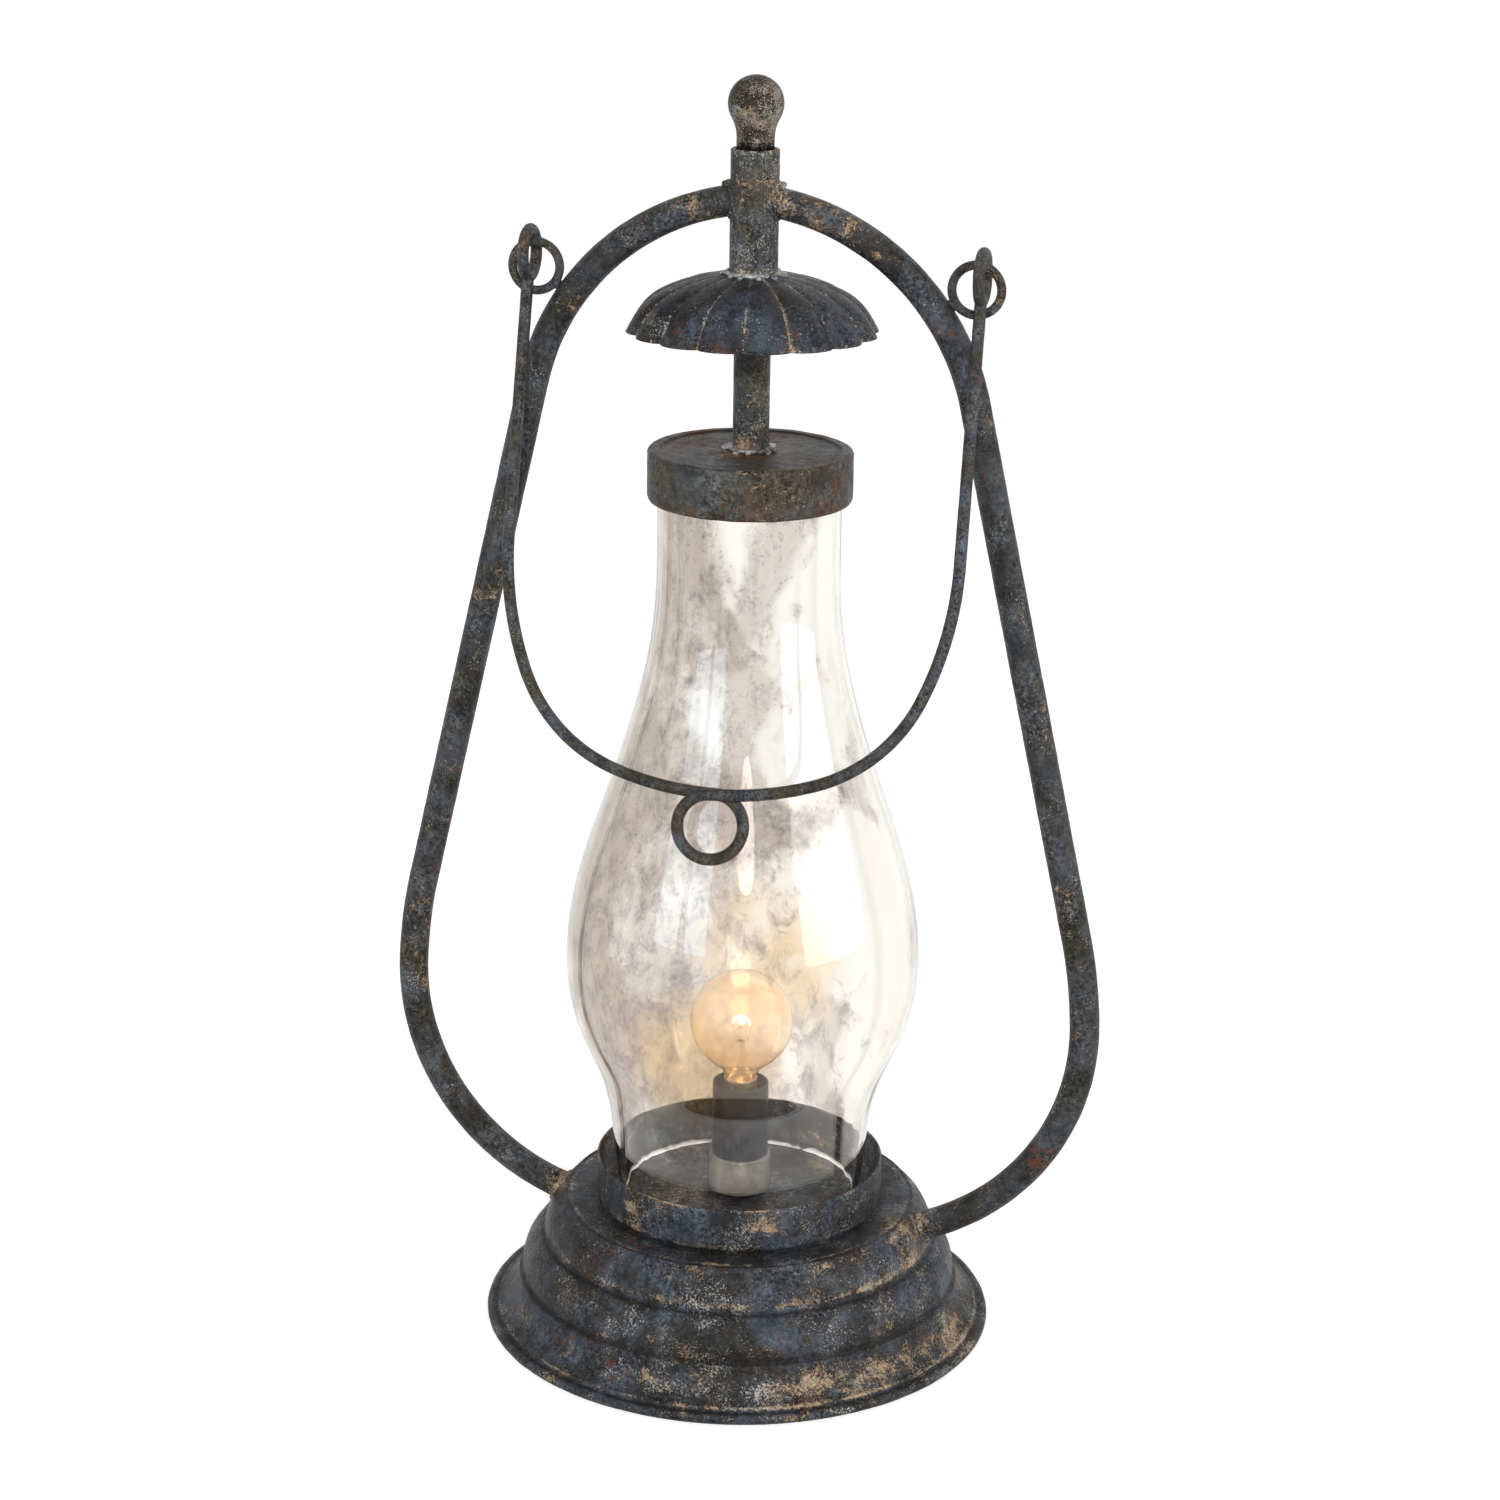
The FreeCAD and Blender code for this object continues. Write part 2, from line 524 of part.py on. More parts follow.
def framePath():
    """Arch, straight leg, soft and tight elbow, short run into the shoulder of the base."""
    startAngle = math.degrees(math.asin((0.48 * size("sleeveRadius") - archCentre.x)
                                        / size("archBend")))
    legAngle = 90.0 - size("legLean")
    archEnd = onArch(legAngle, size("archBend"))
    softAngle = legAngle + size("elbowSoftTurn")
    footAngle = softAngle + size("elbowTurn")
    soft = bendFrom(V(0, 0, 0), legAngle, size("elbowSoftBend"), size("elbowSoftTurn"))
    tight = bendFrom(soft[1], softAngle, size("elbowBend"), size("elbowTurn"))
    bandTop = V(size("shoulderRadius") + round_, size("baseTop") - round_, 0)
    bandFoot = V(size("grooveUpperRadius"), size("grooveUpperHeight"), 0)
    target = bandTop * 0.6 + bandFoot * 0.4
    # the leg and the last run are as long as it takes to land on the upper band
    leg, foot = heading(legAngle), heading(footAngle)
    miss = target - archEnd - tight[1]
    cross = leg.x * foot.y - leg.y * foot.x
    legLength = (miss.x * foot.y - miss.y * foot.x) / cross
    footLength = (leg.x * miss.y - leg.y * miss.x) / cross
    legEnd = archEnd + leg * legLength
    start = onArch(startAngle, size("archBend"))
    return start, startAngle, [
        Part.Arc(start, onArch(0.5 * (startAngle + legAngle), size("archBend")), archEnd),
        Part.LineSegment(archEnd, legEnd),
        Part.Arc(legEnd, legEnd + soft[0], legEnd + soft[1]),
        Part.Arc(legEnd + soft[1], legEnd + tight[0], legEnd + tight[1]),
        Part.LineSegment(legEnd + tight[1],
                         legEnd + tight[1] + foot * (footLength + 0.5 * size("tubeRadius"))),
    ]


def frameTube(label, turned):
    body = newBody(label, FreeCAD.Placement(V(0, 0, 0), FreeCAD.Rotation(V(0, 0, 1), turned)))
    start, lean, curves = framePath()
    spine = newSketch(body, "XZ_Plane")
    for curve in curves:
        spine.addGeometry(curve, False)
    section = newSketch(body, "YZ_Plane", FreeCAD.Placement(
        V(0, start.y, start.x), FreeCAD.Rotation(V(1, 0, 0), lean)))
    drawCircle(section, 0, 0, "tubeRadius")
    drawCircle(section, 0, 0, ("tubeRadius", -size("tubeWall")))
    pipe = body.newObject("PartDesign::AdditivePipe", label + "Pipe")
    pipe.Profile = section
    pipe.Spine = (spine, [])
    doc.recompute()
    arch = size("archHeight")
    tube = size("tubeRadius")
    coped(body, [
        ("start", 0, arch - 3.0 * tube),
        ("line", ("sleeveRadius", gap), arch - 3.0 * tube),
        ("line", ("sleeveRadius", gap), arch + 2.0 * tube),
        ("line", 0, arch + 2.0 * tube),
    ])
    coped(body, [
        ("start", 0, ("grooveUpperHeight", -2.0 * groove)),
        ("line", ("grooveUpperRadius", 2.0 * groove), ("grooveUpperHeight", -2.0 * groove)),
        ("line", ("grooveUpperRadius", gap), ("grooveUpperHeight", 0.3 * gap)),
        ("bow", -upperRise, ("shoulderRadius", round_ + gap), ("baseTop", -round_ + 0.3 * gap)),
        ("line", ("shoulderRadius", 0.3 * gap), ("baseTop", gap)),
        ("line", 0, ("baseTop", gap)),
    ])
    return body


nodes.append(frameTube("frame_tube_right", 0))
nodes.append(frameTube("frame_tube_left", 180))

# ---- rings on the shoulders, clear of the tube by the seat gap


def torus(label, centre, axis, radius, wire):
    ring = doc.addObject("Part::Torus", label)
    ring.Label = label
    bind(ring, "Radius1", radius)
    bind(ring, "Radius2", wire)
    ring.Placement = FreeCAD.Placement(centre, FreeCAD.Rotation(V(0, 0, 1), axis))
    return ring


ringRadius = size("ringRadius")
ringAt = onArch(size("ringPlace"),
                size("archBend") + size("tubeRadius") + gap + ringRadius + size("ringWire"))
for side, sign in (("right", 1), ("left", -1)):
    nodes.append(torus("bail_ring_" + side, V(sign * ringAt.x, 0, ringAt.y), V(0, 1, 0),
                       "ringRadius", "ringWire"))

# ---- bail
# Modelled hanging straight down from an origin on the hinge line, then leaned on the glass.
eyeX = ringAt.x + size("eyeOutset")
hinge = V(0, 0, ringAt.y + math.sqrt(ringRadius ** 2 - size("eyeOutset") ** 2))
eyeDrop = size("eyeRadius") - size("eyeWire") - size("ringWire") - size("eyeSlack")
eyeBottom = eyeDrop + size("eyeRadius")
loop = size("loopRadius")
loopLift = 1.08 * size("bailWire")


def bailStations():
    """Where the wire changes its bend on the right half, with its direction there, and the depth
    of the middle. The last bend is as wide as it takes to arrive level at the middle."""
    x, depth, angle = eyeX, size("bailStraight"), 0.0
    stations = [(V(x, 0, -depth), V(0, 0, -1))]
    for bend, turn in (("bailBendOne", "bailTurnOne"), ("bailBendTwo", "bailTurnTwo")):
        radius, stop = size(bend), angle + math.radians(size(turn))
        x -= radius * (math.cos(angle) - math.cos(stop))
        depth += radius * (math.sin(stop) - math.sin(angle))
        angle = stop
        stations.append((V(x, 0, -depth), V(-math.sin(angle), 0, -math.cos(angle))))
    return stations, depth + x / math.cos(angle) * (1 - math.sin(angle))


def biarc(start, startWay, end, endWay):
    """Two arcs that leave one point and reach the next along the given directions."""
    reach = end - start
    spread = 2 * (1 - startWay.dot(endWay))
    across = reach.dot(startWay + endWay)
    arm = (math.sqrt(across ** 2 + spread * reach.dot(reach)) - across) / spread
    corners = [start + startWay * arm, end - endWay * arm]
    join = (corners[0] + corners[1]) * 0.5
    arcs = []
    for low, corner, high in ((start, corners[0], join), (join, corners[1], end)):
        chord = (low + high) * 0.5
        half = math.atan2(corner.distanceToPoint(chord), low.distanceToPoint(chord))
        rise = math.tan(0.5 * half) / math.tan(half)
        arcs.append(Part.Arc(low, chord + (corner - chord) * rise, high).toShape())
    return arcs


# the wire comes in from the right in front, goes round one full turn by quarters, and leaves
# behind toward the left
rightHalf, middleDepth = bailStations()
stations = list(rightHalf)
for quarter in range(5):
    angle = 0.5 * math.pi * quarter
    point = V(-loop * math.sin(angle), -loopLift * math.cos(0.5 * angle),
              -middleDepth - loop * (1 - math.cos(angle)))
    way = V(-loop * math.cos(angle), 0.5 * loopLift * math.sin(0.5 * angle), -loop * math.sin(angle))
    stations.append((point, way.normalize()))
stations += [(V(-point.x, 0, point.z), V(way.x, 0, -way.z)) for point, way in rightHalf[::-1]]
bends = []
for station, following in zip(stations, stations[1:]):
    bends += biarc(*station, *following)
eyeEnds = [V(eyeX, 0, -eyeBottom), V(-eyeX, 0, -eyeBottom)]
bailSpine = doc.addObject("Part::Feature", "BailSpine")
bailSpine.Shape = Part.Wire([Part.LineSegment(eyeEnds[0], stations[0][0]).toShape()] + bends
                            + [Part.LineSegment(stations[-1][0], eyeEnds[1]).toShape()])

pathPoints = Part.Wire(bends).discretize(400)
leastGap = min(pathPoints[a].distanceToPoint(pathPoints[b])
               for a in range(400) for b in range(a + 20, 400)) - 2 * size("bailWire")
print("least gap of the bail wire to itself: %.2f mm" % leastGap)

# outline of the glass that the bail leans on, as radius and height
glassCurve = Part.BSplineCurve()
glassCurve.interpolate([V(radius, height, 0) for radius, height in
                        [chimneyWaist] + chimneySwell + [(size("chimneyNeck"), size("chimneyTop"))]])
glassPoints = glassCurve.discretize(400)


def clearOfGlass(lean):
    """Least gap from the bail to the glass, less than nothing inside it."""
    turn = FreeCAD.Rotation(V(-1, 0, 0), lean)
    gaps = []
    for point in pathPoints[::2]:
        place = hinge + turn.multVec(point)
        if abs(place.x) < size("chimneyFoot"):
            beside = V(math.hypot(place.x, place.y), place.z, 0)
            nearest = min(glassPoints, key=beside.distanceToPoint)
            away = beside.distanceToPoint(nearest)
            gaps.append((away if beside.x > nearest.x else -away) - size("bailWire"))
    return min(gaps)


leanIn, leanOut = 0.0, 45.0
while leanOut - leanIn > 0.02:
    middle = 0.5 * (leanIn + leanOut)
    if clearOfGlass(middle) < gap:
        leanIn = middle
    else:
        leanOut = middle
bailLean = leanOut


def sweptWire(label, spine, start, direction, radius):
    """A round wire along the edges of a spine object."""
    section = doc.addObject("Part::Circle", label + "Section")
    bind(section, "Radius", radius)
    section.Placement = FreeCAD.Placement(start, FreeCAD.Rotation(V(0, 0, 1), direction))
    rod = doc.addObject("Part::Sweep", label)
    rod.Label = label
    rod.Sections = [section]
    rod.Spine = (spine, ["Edge%d" % (k + 1) for k in range(len(spine.Shape.Edges))])
    rod.Solid = True
    rod.Frenet = False
    return rod


bailRod = sweptWire("BailRod", bailSpine, eyeEnds[0], V(0, 0, -1), "bailWire")
bailParts = [bailRod]
for side, end in zip(("Right", "Left"), eyeEnds):
    bailParts.append(torus("BailEye" + side, end + V(0, 0, size("eyeRadius")), V(1, 0, 0),
                           "eyeRadius", "eyeWire"))
    bead = doc.addObject("Part::Sphere", "BailBead" + side)
    bind(bead, "Radius", ("bailWire", 0.234 * size("bailWire")))
    bead.Placement = FreeCAD.Placement(end - V(0, 0, 0.188 * size("bailWire")), FreeCAD.Rotation())
    bailParts.append(bead)
bail = doc.addObject("Part::MultiFuse", "bail_handle")
bail.Label = "bail_handle"
bail.Shapes = bailParts
bail.Placement = FreeCAD.Placement(hinge, FreeCAD.Rotation(V(-1, 0, 0), bailLean))
doc.recompute()
wireVolume = math.pi * size("bailWire") ** 2 * bailSpine.Shape.Length
print("bail wire holds %.4f of its section times its length" % (bailRod.Shape.Volume / wireVolume))
nodes.append(bail)

# ---- lampholder, stacked on the nipple
nodes.append(extruded("lamp_nipple", "nippleBottom", size("nippleTop") - size("nippleBottom"),
                      "nippleRadius", "nippleBore"))
nodes.append(extruded("nipple_nut", "nutBottom", "nutThick", None, "nippleHole", "nutFlats"))
nodes.append(extruded("nut_washer", "nutWasherBottom", "washerThick", "washerRadius", "nippleHole"))
nodes.append(extruded("holder_spacer", "spacerBottom", "spacerThick", "spacerRadius", "nippleHole"))
foot = extruded("holder_foot_ring", "footBottom", "footHeight", "footRadius", "nippleHole")
dress(foot, "Fillet", "footRadius", "footTop", size("footRound"))
nodes.append(foot)

coverWall = size("coverWall")
nodes.append(revolved("holder_cover", [
    ("start", "nippleHole", "coverBottom"),
    ("line", "coverRadius", "coverBottom"),
    ("line", "coverRadius", ("coverTop", -0.5 * coverWall)),
    ("bow", -0.5 * coverWall, ("coverRadius", -coverWall), ("coverTop", -0.5 * coverWall)),
    ("line", ("coverRadius", -coverWall), ("coverBottom", coverWall)),
    ("line", "nippleHole", ("coverBottom", coverWall)),
]))

# insulating body with a well for the screw shell
nodes.append(revolved("holder_body", [
    ("start", "nippleHole", "holderBottom"),
    ("line", "holderRadius", "holderBottom"),
    ("line", "holderRadius", ("holderTop", -1.0)),
    ("line", ("holderRadius", -1.0), "holderTop"),
    ("line", "holderWellRadius", "holderTop"),
    ("line", "holderWellRadius", "holderWell"),
    ("line", "nippleHole", "holderWell"),
]))
shellWall = size("holderShellWall")
nodes.append(revolved("holder_shell", [
    ("start", 6.5, ("holderWell", gap)),
    ("line", "holderShellRadius", ("holderWell", gap)),
    ("line", "holderShellRadius", ("holderTop", -0.5)),
    ("line", "holderShellInside", ("holderTop", -0.5)),
    ("line", "holderShellInside", ("holderWell", gap + shellWall)),
    ("line", 6.5, ("holderWell", gap + shellWall)),
]))

# centre contact on its insulating plug, over the end of the nipple
nodes.append(revolved("holder_contact", [
    ("start", 0, "contactBottom"),
    ("line", ("nippleRadius", -0.25), "contactBottom"),
    ("line", ("nippleRadius", -0.25), ("contactTop", -2.4)),
    ("line", ("nippleRadius", -1.85), ("contactTop", -1.8)),
    ("bow", -0.25, ("nippleRadius", -3.6), "contactTop"),
    ("line", 0, "contactTop"),
]))

# ---- bulb
nodes.append(revolved("bulb_tip", [
    ("start", 0, "tipBottom"),
    ("bow", -0.4, "tipRadius", ("tipBottom", size("tipHeight"))),
    ("line", 0, ("tipBottom", size("tipHeight"))),
]))
nodes.append(revolved("bulb_insulator", [
    ("start", 0, "insulatorBottom"),
    ("line", ("tipRadius", 0.5), "insulatorBottom"),
    ("line", "insulatorRadius", "insulatorShoulder"),
    ("line", "insulatorRadius", ("insulatorShoulder", 3.0)),
    ("line", 0, ("insulatorShoulder", 3.0)),
]))
sheetWall = size("bulbSheet")
nodes.append(revolved("bulb_shell", [
    ("start", ("insulatorRadius", 0.4), "shellBottom"),
    ("line", "bulbShell", ("shellBottom", 1.4)),
    ("line", "bulbShell", ("skirtBottom", -1.2)),
    ("line", "bulbSkirt", "skirtBottom"),
    ("line", "bulbSkirt", "shellTop"),
    ("line", ("bulbSkirt", -sheetWall), "shellTop"),
    ("line", ("bulbSkirt", -sheetWall), ("skirtBottom", 0.2)),
    ("line", ("bulbShell", -sheetWall), ("skirtBottom", -1.0)),
    ("line", ("bulbShell", -sheetWall), ("shellBottom", 1.6)),
    ("line", ("insulatorRadius", 0.35), ("shellBottom", 0.55)),
]))


def ballArc(radius, angle):
    """Rise of the arc over its chord from the top of a ball to an angle below its middle."""
    return radius * (1 - math.cos(0.5 * math.radians(90 + angle)))


globe = size("globeRadius")
inner = globe - size("globeWall")
cut = 58.0
cutX, cutZ = math.cos(math.radians(cut)), math.sin(math.radians(cut))
nodes.append(revolved("bulb_globe", [
    ("start", 0, ("globeHeight", globe)),
    ("bow", ballArc(globe, cut), globe * cutX, ("globeHeight", -globe * cutZ)),
    ("bow", -1.0, "neckRadius", ("shellTop", 0.3)),
    ("line", "neckRadius", "neckBottom"),
    ("line", ("neckRadius", -size("globeWall")), "neckBottom"),
    ("line", ("neckRadius", -size("globeWall")), ("shellTop", 0.5)),
    ("bow", 1.0, inner * cutX, ("globeHeight", -inner * cutZ)),
    ("bow", -ballArc(inner, cut), 0, ("globeHeight", inner)),
]))
nodes.append(revolved("bulb_stem", [
    ("start", 0, "stemBottom"),
    ("line", ("neckRadius", -size("globeWall") - gap), "stemBottom"),
    ("line", ("neckRadius", -size("globeWall") - gap), ("stemBottom", 0.8)),
    ("bow", -1.6, 2.2, ("stemBottom", 10.2)),
    ("line", 2.0, ("stemTop", -0.6)),
    ("line", 1.6, "stemTop"),
    ("line", 0, "stemTop"),
]))


def wireSpine(label, edges):
    spine = doc.addObject("Part::Feature", label)
    spine.Shape = Part.Wire(edges)
    return spine


# two lead wires spread from beside the stem, and the filament bowed between them
spread = size("leadSpread")
leadStart, leadEnd = size("stemTop") - 1.5, size("stemTop") + 8.4
leads = []
for side, sign in (("Right", 1), ("Left", -1)):
    low = V(sign * (2.0 + size("leadRadius") + 0.1), 0, leadStart)
    high = V(sign * spread, 0, leadEnd)
    spine = wireSpine("LeadSpine" + side, [Part.LineSegment(low, high).toShape()])
    leads.append(sweptWire("Lead" + side, spine, low, high - low, "leadRadius"))
leadPair = doc.addObject("Part::Compound", "bulb_leads")
leadPair.Label = "bulb_leads"
leadPair.Links = leads
nodes.append(leadPair)
ends = leadEnd + size("filamentRadius") + gap
arc = Part.Arc(V(-spread, 0, ends), V(0, 0, ends + size("filamentRise")), V(spread, 0, ends)).toShape()
spine = wireSpine("FilamentSpine", [arc])
filament = sweptWire("bulb_filament", spine, arc.valueAt(arc.FirstParameter),
                     arc.tangentAt(arc.FirstParameter), "filamentRadius")
nodes.append(filament)

# ---- check, then write each piece
doc.recompute()
for item in doc.Objects:
    if "Invalid" in item.State or "Error" in item.State:
        raise ValueError("%s is %s" % (item.Name, item.State))
for node in nodes:
    if node.Shape.isNull() or not node.Shape.isValid():
        raise ValueError("bad shape " + node.Label)
for node in nodes:
    node.Shape.exportStep("parts/%s.step" % node.Label)
    print("%-18s %10.0f mm3 %d" % (node.Label, node.Shape.Volume, len(node.Shape.Solids)))
print("hinge z %.2f, eye x %.2f, bail lean %.2f, ring %.2f %.2f, bulb tip %.2f"
      % (hinge.z, eyeX, bailLean, ringAt.x, ringAt.y, size("tipBottom")))
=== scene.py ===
import math

import bpy
import numpy as np
from mathutils import Matrix, Vector, noise


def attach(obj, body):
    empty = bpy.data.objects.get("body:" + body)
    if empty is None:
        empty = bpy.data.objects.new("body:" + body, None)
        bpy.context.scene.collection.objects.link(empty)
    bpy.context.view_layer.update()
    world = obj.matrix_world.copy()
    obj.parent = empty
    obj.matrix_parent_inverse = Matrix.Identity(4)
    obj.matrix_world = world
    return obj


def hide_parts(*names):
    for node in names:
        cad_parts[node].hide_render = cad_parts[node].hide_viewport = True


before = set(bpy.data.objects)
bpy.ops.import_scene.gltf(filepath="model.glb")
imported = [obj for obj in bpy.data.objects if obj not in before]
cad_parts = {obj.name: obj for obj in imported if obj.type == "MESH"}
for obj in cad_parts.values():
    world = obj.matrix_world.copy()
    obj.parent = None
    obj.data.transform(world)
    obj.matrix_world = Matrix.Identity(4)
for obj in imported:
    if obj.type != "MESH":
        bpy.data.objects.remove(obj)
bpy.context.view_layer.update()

unit = 0.001  # sizes below are in mm, the scene is in metres
upAxis = Vector((0, 0, 1))


def display(red, green, blue):
    # a colour read off a screen, 0 to 255, as the shader wants it
    return tuple((value / 255.0) ** 2.2 for value in (red, green, blue)) + (1.0,)


# ---- outlines: lists of (radius, height) that follow lines, bows and smooth curves

def bowPoints(start, end, rise, spacing):
    # an arc that rises to the left of its chord
    chord = end - start
    side = Vector((-chord.y, chord.x)).normalized()
    if abs(rise) < 1e-6:
        count = max(1, round(chord.length / spacing))
        return [start + chord * (k + 1) / count for k in range(count)]
    reach = 2 * math.atan(2 * abs(rise) / chord.length)
    radius = chord.length / (2 * math.sin(reach))
    sign = math.copysign(1.0, rise)
    centre = (start + end) / 2 + side * (rise - sign * radius)
    count = max(2, round(2 * reach * radius / spacing))
    points = []
    for k in range(count):
        turn = -reach + 2 * reach * (k + 1) / count
        points.append(centre + side * sign * radius * math.cos(turn)
                      + chord.normalized() * radius * math.sin(turn))
    return points


def outlineFrom(steps, spacing):
    # steps are (radius, height) for a line or (radius, height, rise) for a bow
    points = [Vector(steps[0])]
    for step in steps[1:]:
        rise = step[2] if len(step) > 2 else 0.0
        points += bowPoints(points[-1], Vector(step[:2]), rise, spacing)
    return points


def smoothThrough(stations, spacing):
    # a natural cubic spline through the stations, as evenly spaced points
    fixed = np.array([tuple(p) for p in stations], float)
    steps = np.linalg.norm(np.diff(fixed, axis=0), axis=1)
    count = len(fixed)
    matrix, right = np.eye(count), np.zeros_like(fixed)
    for k in range(1, count - 1):
        matrix[k, k - 1], matrix[k, k + 1] = steps[k - 1], steps[k]
        matrix[k, k] = 2 * (steps[k - 1] + steps[k])
        right[k] = 6 * ((fixed[k + 1] - fixed[k]) / steps[k] - (fixed[k] - fixed[k - 1]) / steps[k - 1])
    bend = np.linalg.solve(matrix, right)
    points = [Vector(fixed[0])]
    for k in range(count - 1):
        parts = max(1, round(steps[k] / spacing))
        for part in range(parts):
            b = (part + 1) / parts
            a = 1 - b
            curve = (a ** 3 - a) * bend[k] + (b ** 3 - b) * bend[k + 1]
            points.append(Vector(a * fixed[k] + b * fixed[k + 1] + curve * steps[k] ** 2 / 6))
    return points


# ---- meshes: rows of points joined by quads, as (points, faces, wear and painted shade)

def skin(rows, wearAndShade, closed=False, capped=False):
    points, faces, worn = [], [], []
    wide = len(rows[0])
    for row, level in zip(rows, wearAndShade):
        points += row
        worn += level if isinstance(level, list) else [level] * wide
    last = len(rows) if closed else len(rows) - 1
    for i in range(last):
        low, high = i * wide, (i + 1) % len(rows) * wide
        for j in range(wide):
            k = (j + 1) % wide
            faces.append((low + j, low + k, high + k, high + j))
    if capped:
        for start, flip in ((0, True), ((len(rows) - 1) * wide, False)):
            middle = len(points)
            points.append(sum(points[start:start + wide], Vector((0, 0, 0))) / wide)
            worn.append(worn[start])
            for j in range(wide):
                pair = (start + j, start + (j + 1) % wide)
                faces.append((pair[1], pair[0], middle) if flip else (pair[0], pair[1], middle))
    return points, faces, worn


def wearAndShadeAt(point, spots):
    # spots are (radius, height, spread, strength) in the outline's plane; a negative strength darkens, as
    # grime and painted shade
    total = 0.0
    for radius, height, spread, strength in spots:
        away = math.hypot(point[0] - radius, point[1] - height) / spread
        if away < 3.5:
            total += strength * math.exp(-away * away)
    return max(-1.0, min(1.0, total))


def patchWearAndShade(place, patches):
    # wear near places on one side, as (place, spread, strength); a negative strength is painted shade
    return sum(strength * math.exp(-(place - Vector(middle)).length_squared / spread ** 2)
               for middle, spread, strength in patches)


def turned(outline, segments, spots=(), closed=True, uneven=None, patches=()):
    # swings an outline about the lamp's axis; uneven gives the radius and height to add
    area = sum(a[0] * b[1] - b[0] * a[1] for a, b in zip(outline, outline[1:] + outline[:1]))
    if area < 0:
        outline = outline[::-1]
    rows, wearAndShade = [], []
    for index, point in enumerate(outline):
        ring = []
        for k in range(segments):
            turn = 2 * math.pi * k / segments
            radius, height = point[0], point[1]
            if uneven:
                out, up = uneven(radius, height, turn, index)
                radius, height = radius + out, height + up
            ring.append(Vector((radius * math.cos(turn), radius * math.sin(turn), height)))
        rows.append(ring)
        level = wearAndShadeAt(point, spots)
        wearAndShade.append([patchy(level + patchWearAndShade(place, patches), place) for place in ring])
    return skin(rows, wearAndShade, closed=closed)


def bumps(place, size):
    return 0.65 * noise.noise(place / size) + 0.35 * noise.noise(place / size * 2.7 + Vector((7, 3, 5)))


def patchy(level, place):
    # wear comes and goes along an edge, grime and painted shade stay
    if level <= 0:
        return level
    return min(1.0, level * max(0.0, 0.85 + 1.2 * bumps(place, 13.0)))


def swept(path, radius, sides, wearAndShade=0.0, closed=False, capped=True, firstSide=None):
    # a round bar along a path; radius may be a function of the index and the side
    count = len(path)
    ways = []
    for k in range(count):
        if closed:
            way = path[(k + 1) % count] - path[k - 1]
        else:
            way = path[min(k + 1, count - 1)] - path[max(k - 1, 0)]
        ways.append(way.normalized())
    side = firstSide or ways[0].orthogonal().normalized()
    rows, levels = [], []
    for k in range(count):
        side = (side - ways[k] * side.dot(ways[k])).normalized()
        other = ways[k].cross(side)
        ring = []
        for j in range(sides):
            turn = 2 * math.pi * j / sides
            wide = radius(k, j) if callable(radius) else radius
            ring.append(path[k] + (side * math.cos(turn) + other * math.sin(turn)) * wide)
        rows.append(ring)
        levels.append(wearAndShade(k) if callable(wearAndShade) else wearAndShade)
    return skin(rows, levels, closed=closed, capped=capped and not closed)


def roughened(mesh, depth, size):
    # pushes each vertex in along its normal, by up to depth
    moves = []
    for vertex in mesh.vertices:
        lump = 0.5 + 0.8 * bumps(vertex.co / unit, size)
        moves.append(vertex.co - vertex.normal * depth * unit * max(0.0, min(1.0, lump)))
    for vertex, place in zip(mesh.vertices, moves):
        vertex.co = place


def placed(name, parts, body, material, replaced=(), rough=None):
    points, faces, wearAndShade = [], [], []
    for partPoints, partFaces, partWearAndShade in parts:
        first = len(points)
        points += [point * unit for point in partPoints]
        faces += [tuple(first + index for index in face) for face in partFaces]
        wearAndShade += partWearAndShade
    mesh = bpy.data.meshes.new(name)
    mesh.from_pydata(points, [], faces)
    mesh.update()
    level = mesh.attributes.new("wearAndShade", "FLOAT", "POINT")
    level.data.foreach_set("value", np.array(wearAndShade, np.float32))
    if rough:
        roughened(mesh, *rough)
    mesh.shade_smooth()
    mesh.materials.append(material)
    piece = bpy.data.objects.new(name, mesh)
    bpy.context.scene.collection.objects.link(piece)
    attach(piece, body)
    if replaced:
        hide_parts(*replaced)
    return piece


def weldBead(path, size, seed, closed=False, wearAndShade=0.35):
    # a lumpy run of weld metal along a path
    offset = Vector((seed * 13.7, seed * 5.1, seed * 9.3))
    shifted = [p + Vector((noise.noise(p / 3 + offset), noise.noise(p / 3 - offset),
                           noise.noise(p / 2.3 + offset * 2))) * 0.22 * size for p in path]

    def girth(k, j):
        lump = bumps(path[k] + offset + Vector((j, j * 0.7, 0)) * 0.4, 0.9 * size)
        return size * (0.86 + 0.42 * lump)

    return swept(shifted, girth, 12, wearAndShade=wearAndShade, closed=closed)


def weldTongues(radius, height, reach, drop, size, count, seed, centre=(0.0, 0.0)):
    # short uneven runs that spread from a round joint onto the surface outside it
    beads = []
    for k in range(count):
        roll = Vector((seed * 3.1 + k * 1.7, k * 0.9, seed * 0.7))
        turn = 2 * math.pi * (k + 0.7 * noise.noise(roll)) / count
        long = reach * (0.7 + 0.6 * noise.noise(roll * 2.1))
        out = Vector((math.cos(turn), math.sin(turn), 0))
        start = Vector((centre[0], centre[1], height)) + out * radius
        path = [start + (out * long - upAxis * drop * long / reach) * step / 4 for step in range(5)]
        thick = size * (0.8 + 0.5 * noise.noise(roll * 3.3))
        beads.append(weldBead(path, thick, seed + k, wearAndShade=0.15))
    return beads


# ---- nodes

def addNode(tree, kind, inputs=None, **settings):
    item = tree.nodes.new(kind)
    for name, value in settings.items():
        setattr(item, name, value)
    for name, value in (inputs or {}).items():
        if isinstance(value, bpy.types.NodeSocket):
            tree.links.new(value, item.inputs[name])
        else:
            item.inputs[name].default_value = value
    return item


def grain(tree, place, scale, detail=3.0, rough=0.55, bent=0.0):
    return addNode(tree, "ShaderNodeTexNoise", {"Vector": place, "Scale": scale, "Detail": detail,
                                                "Roughness": rough, "Distortion": bent}).outputs[0]


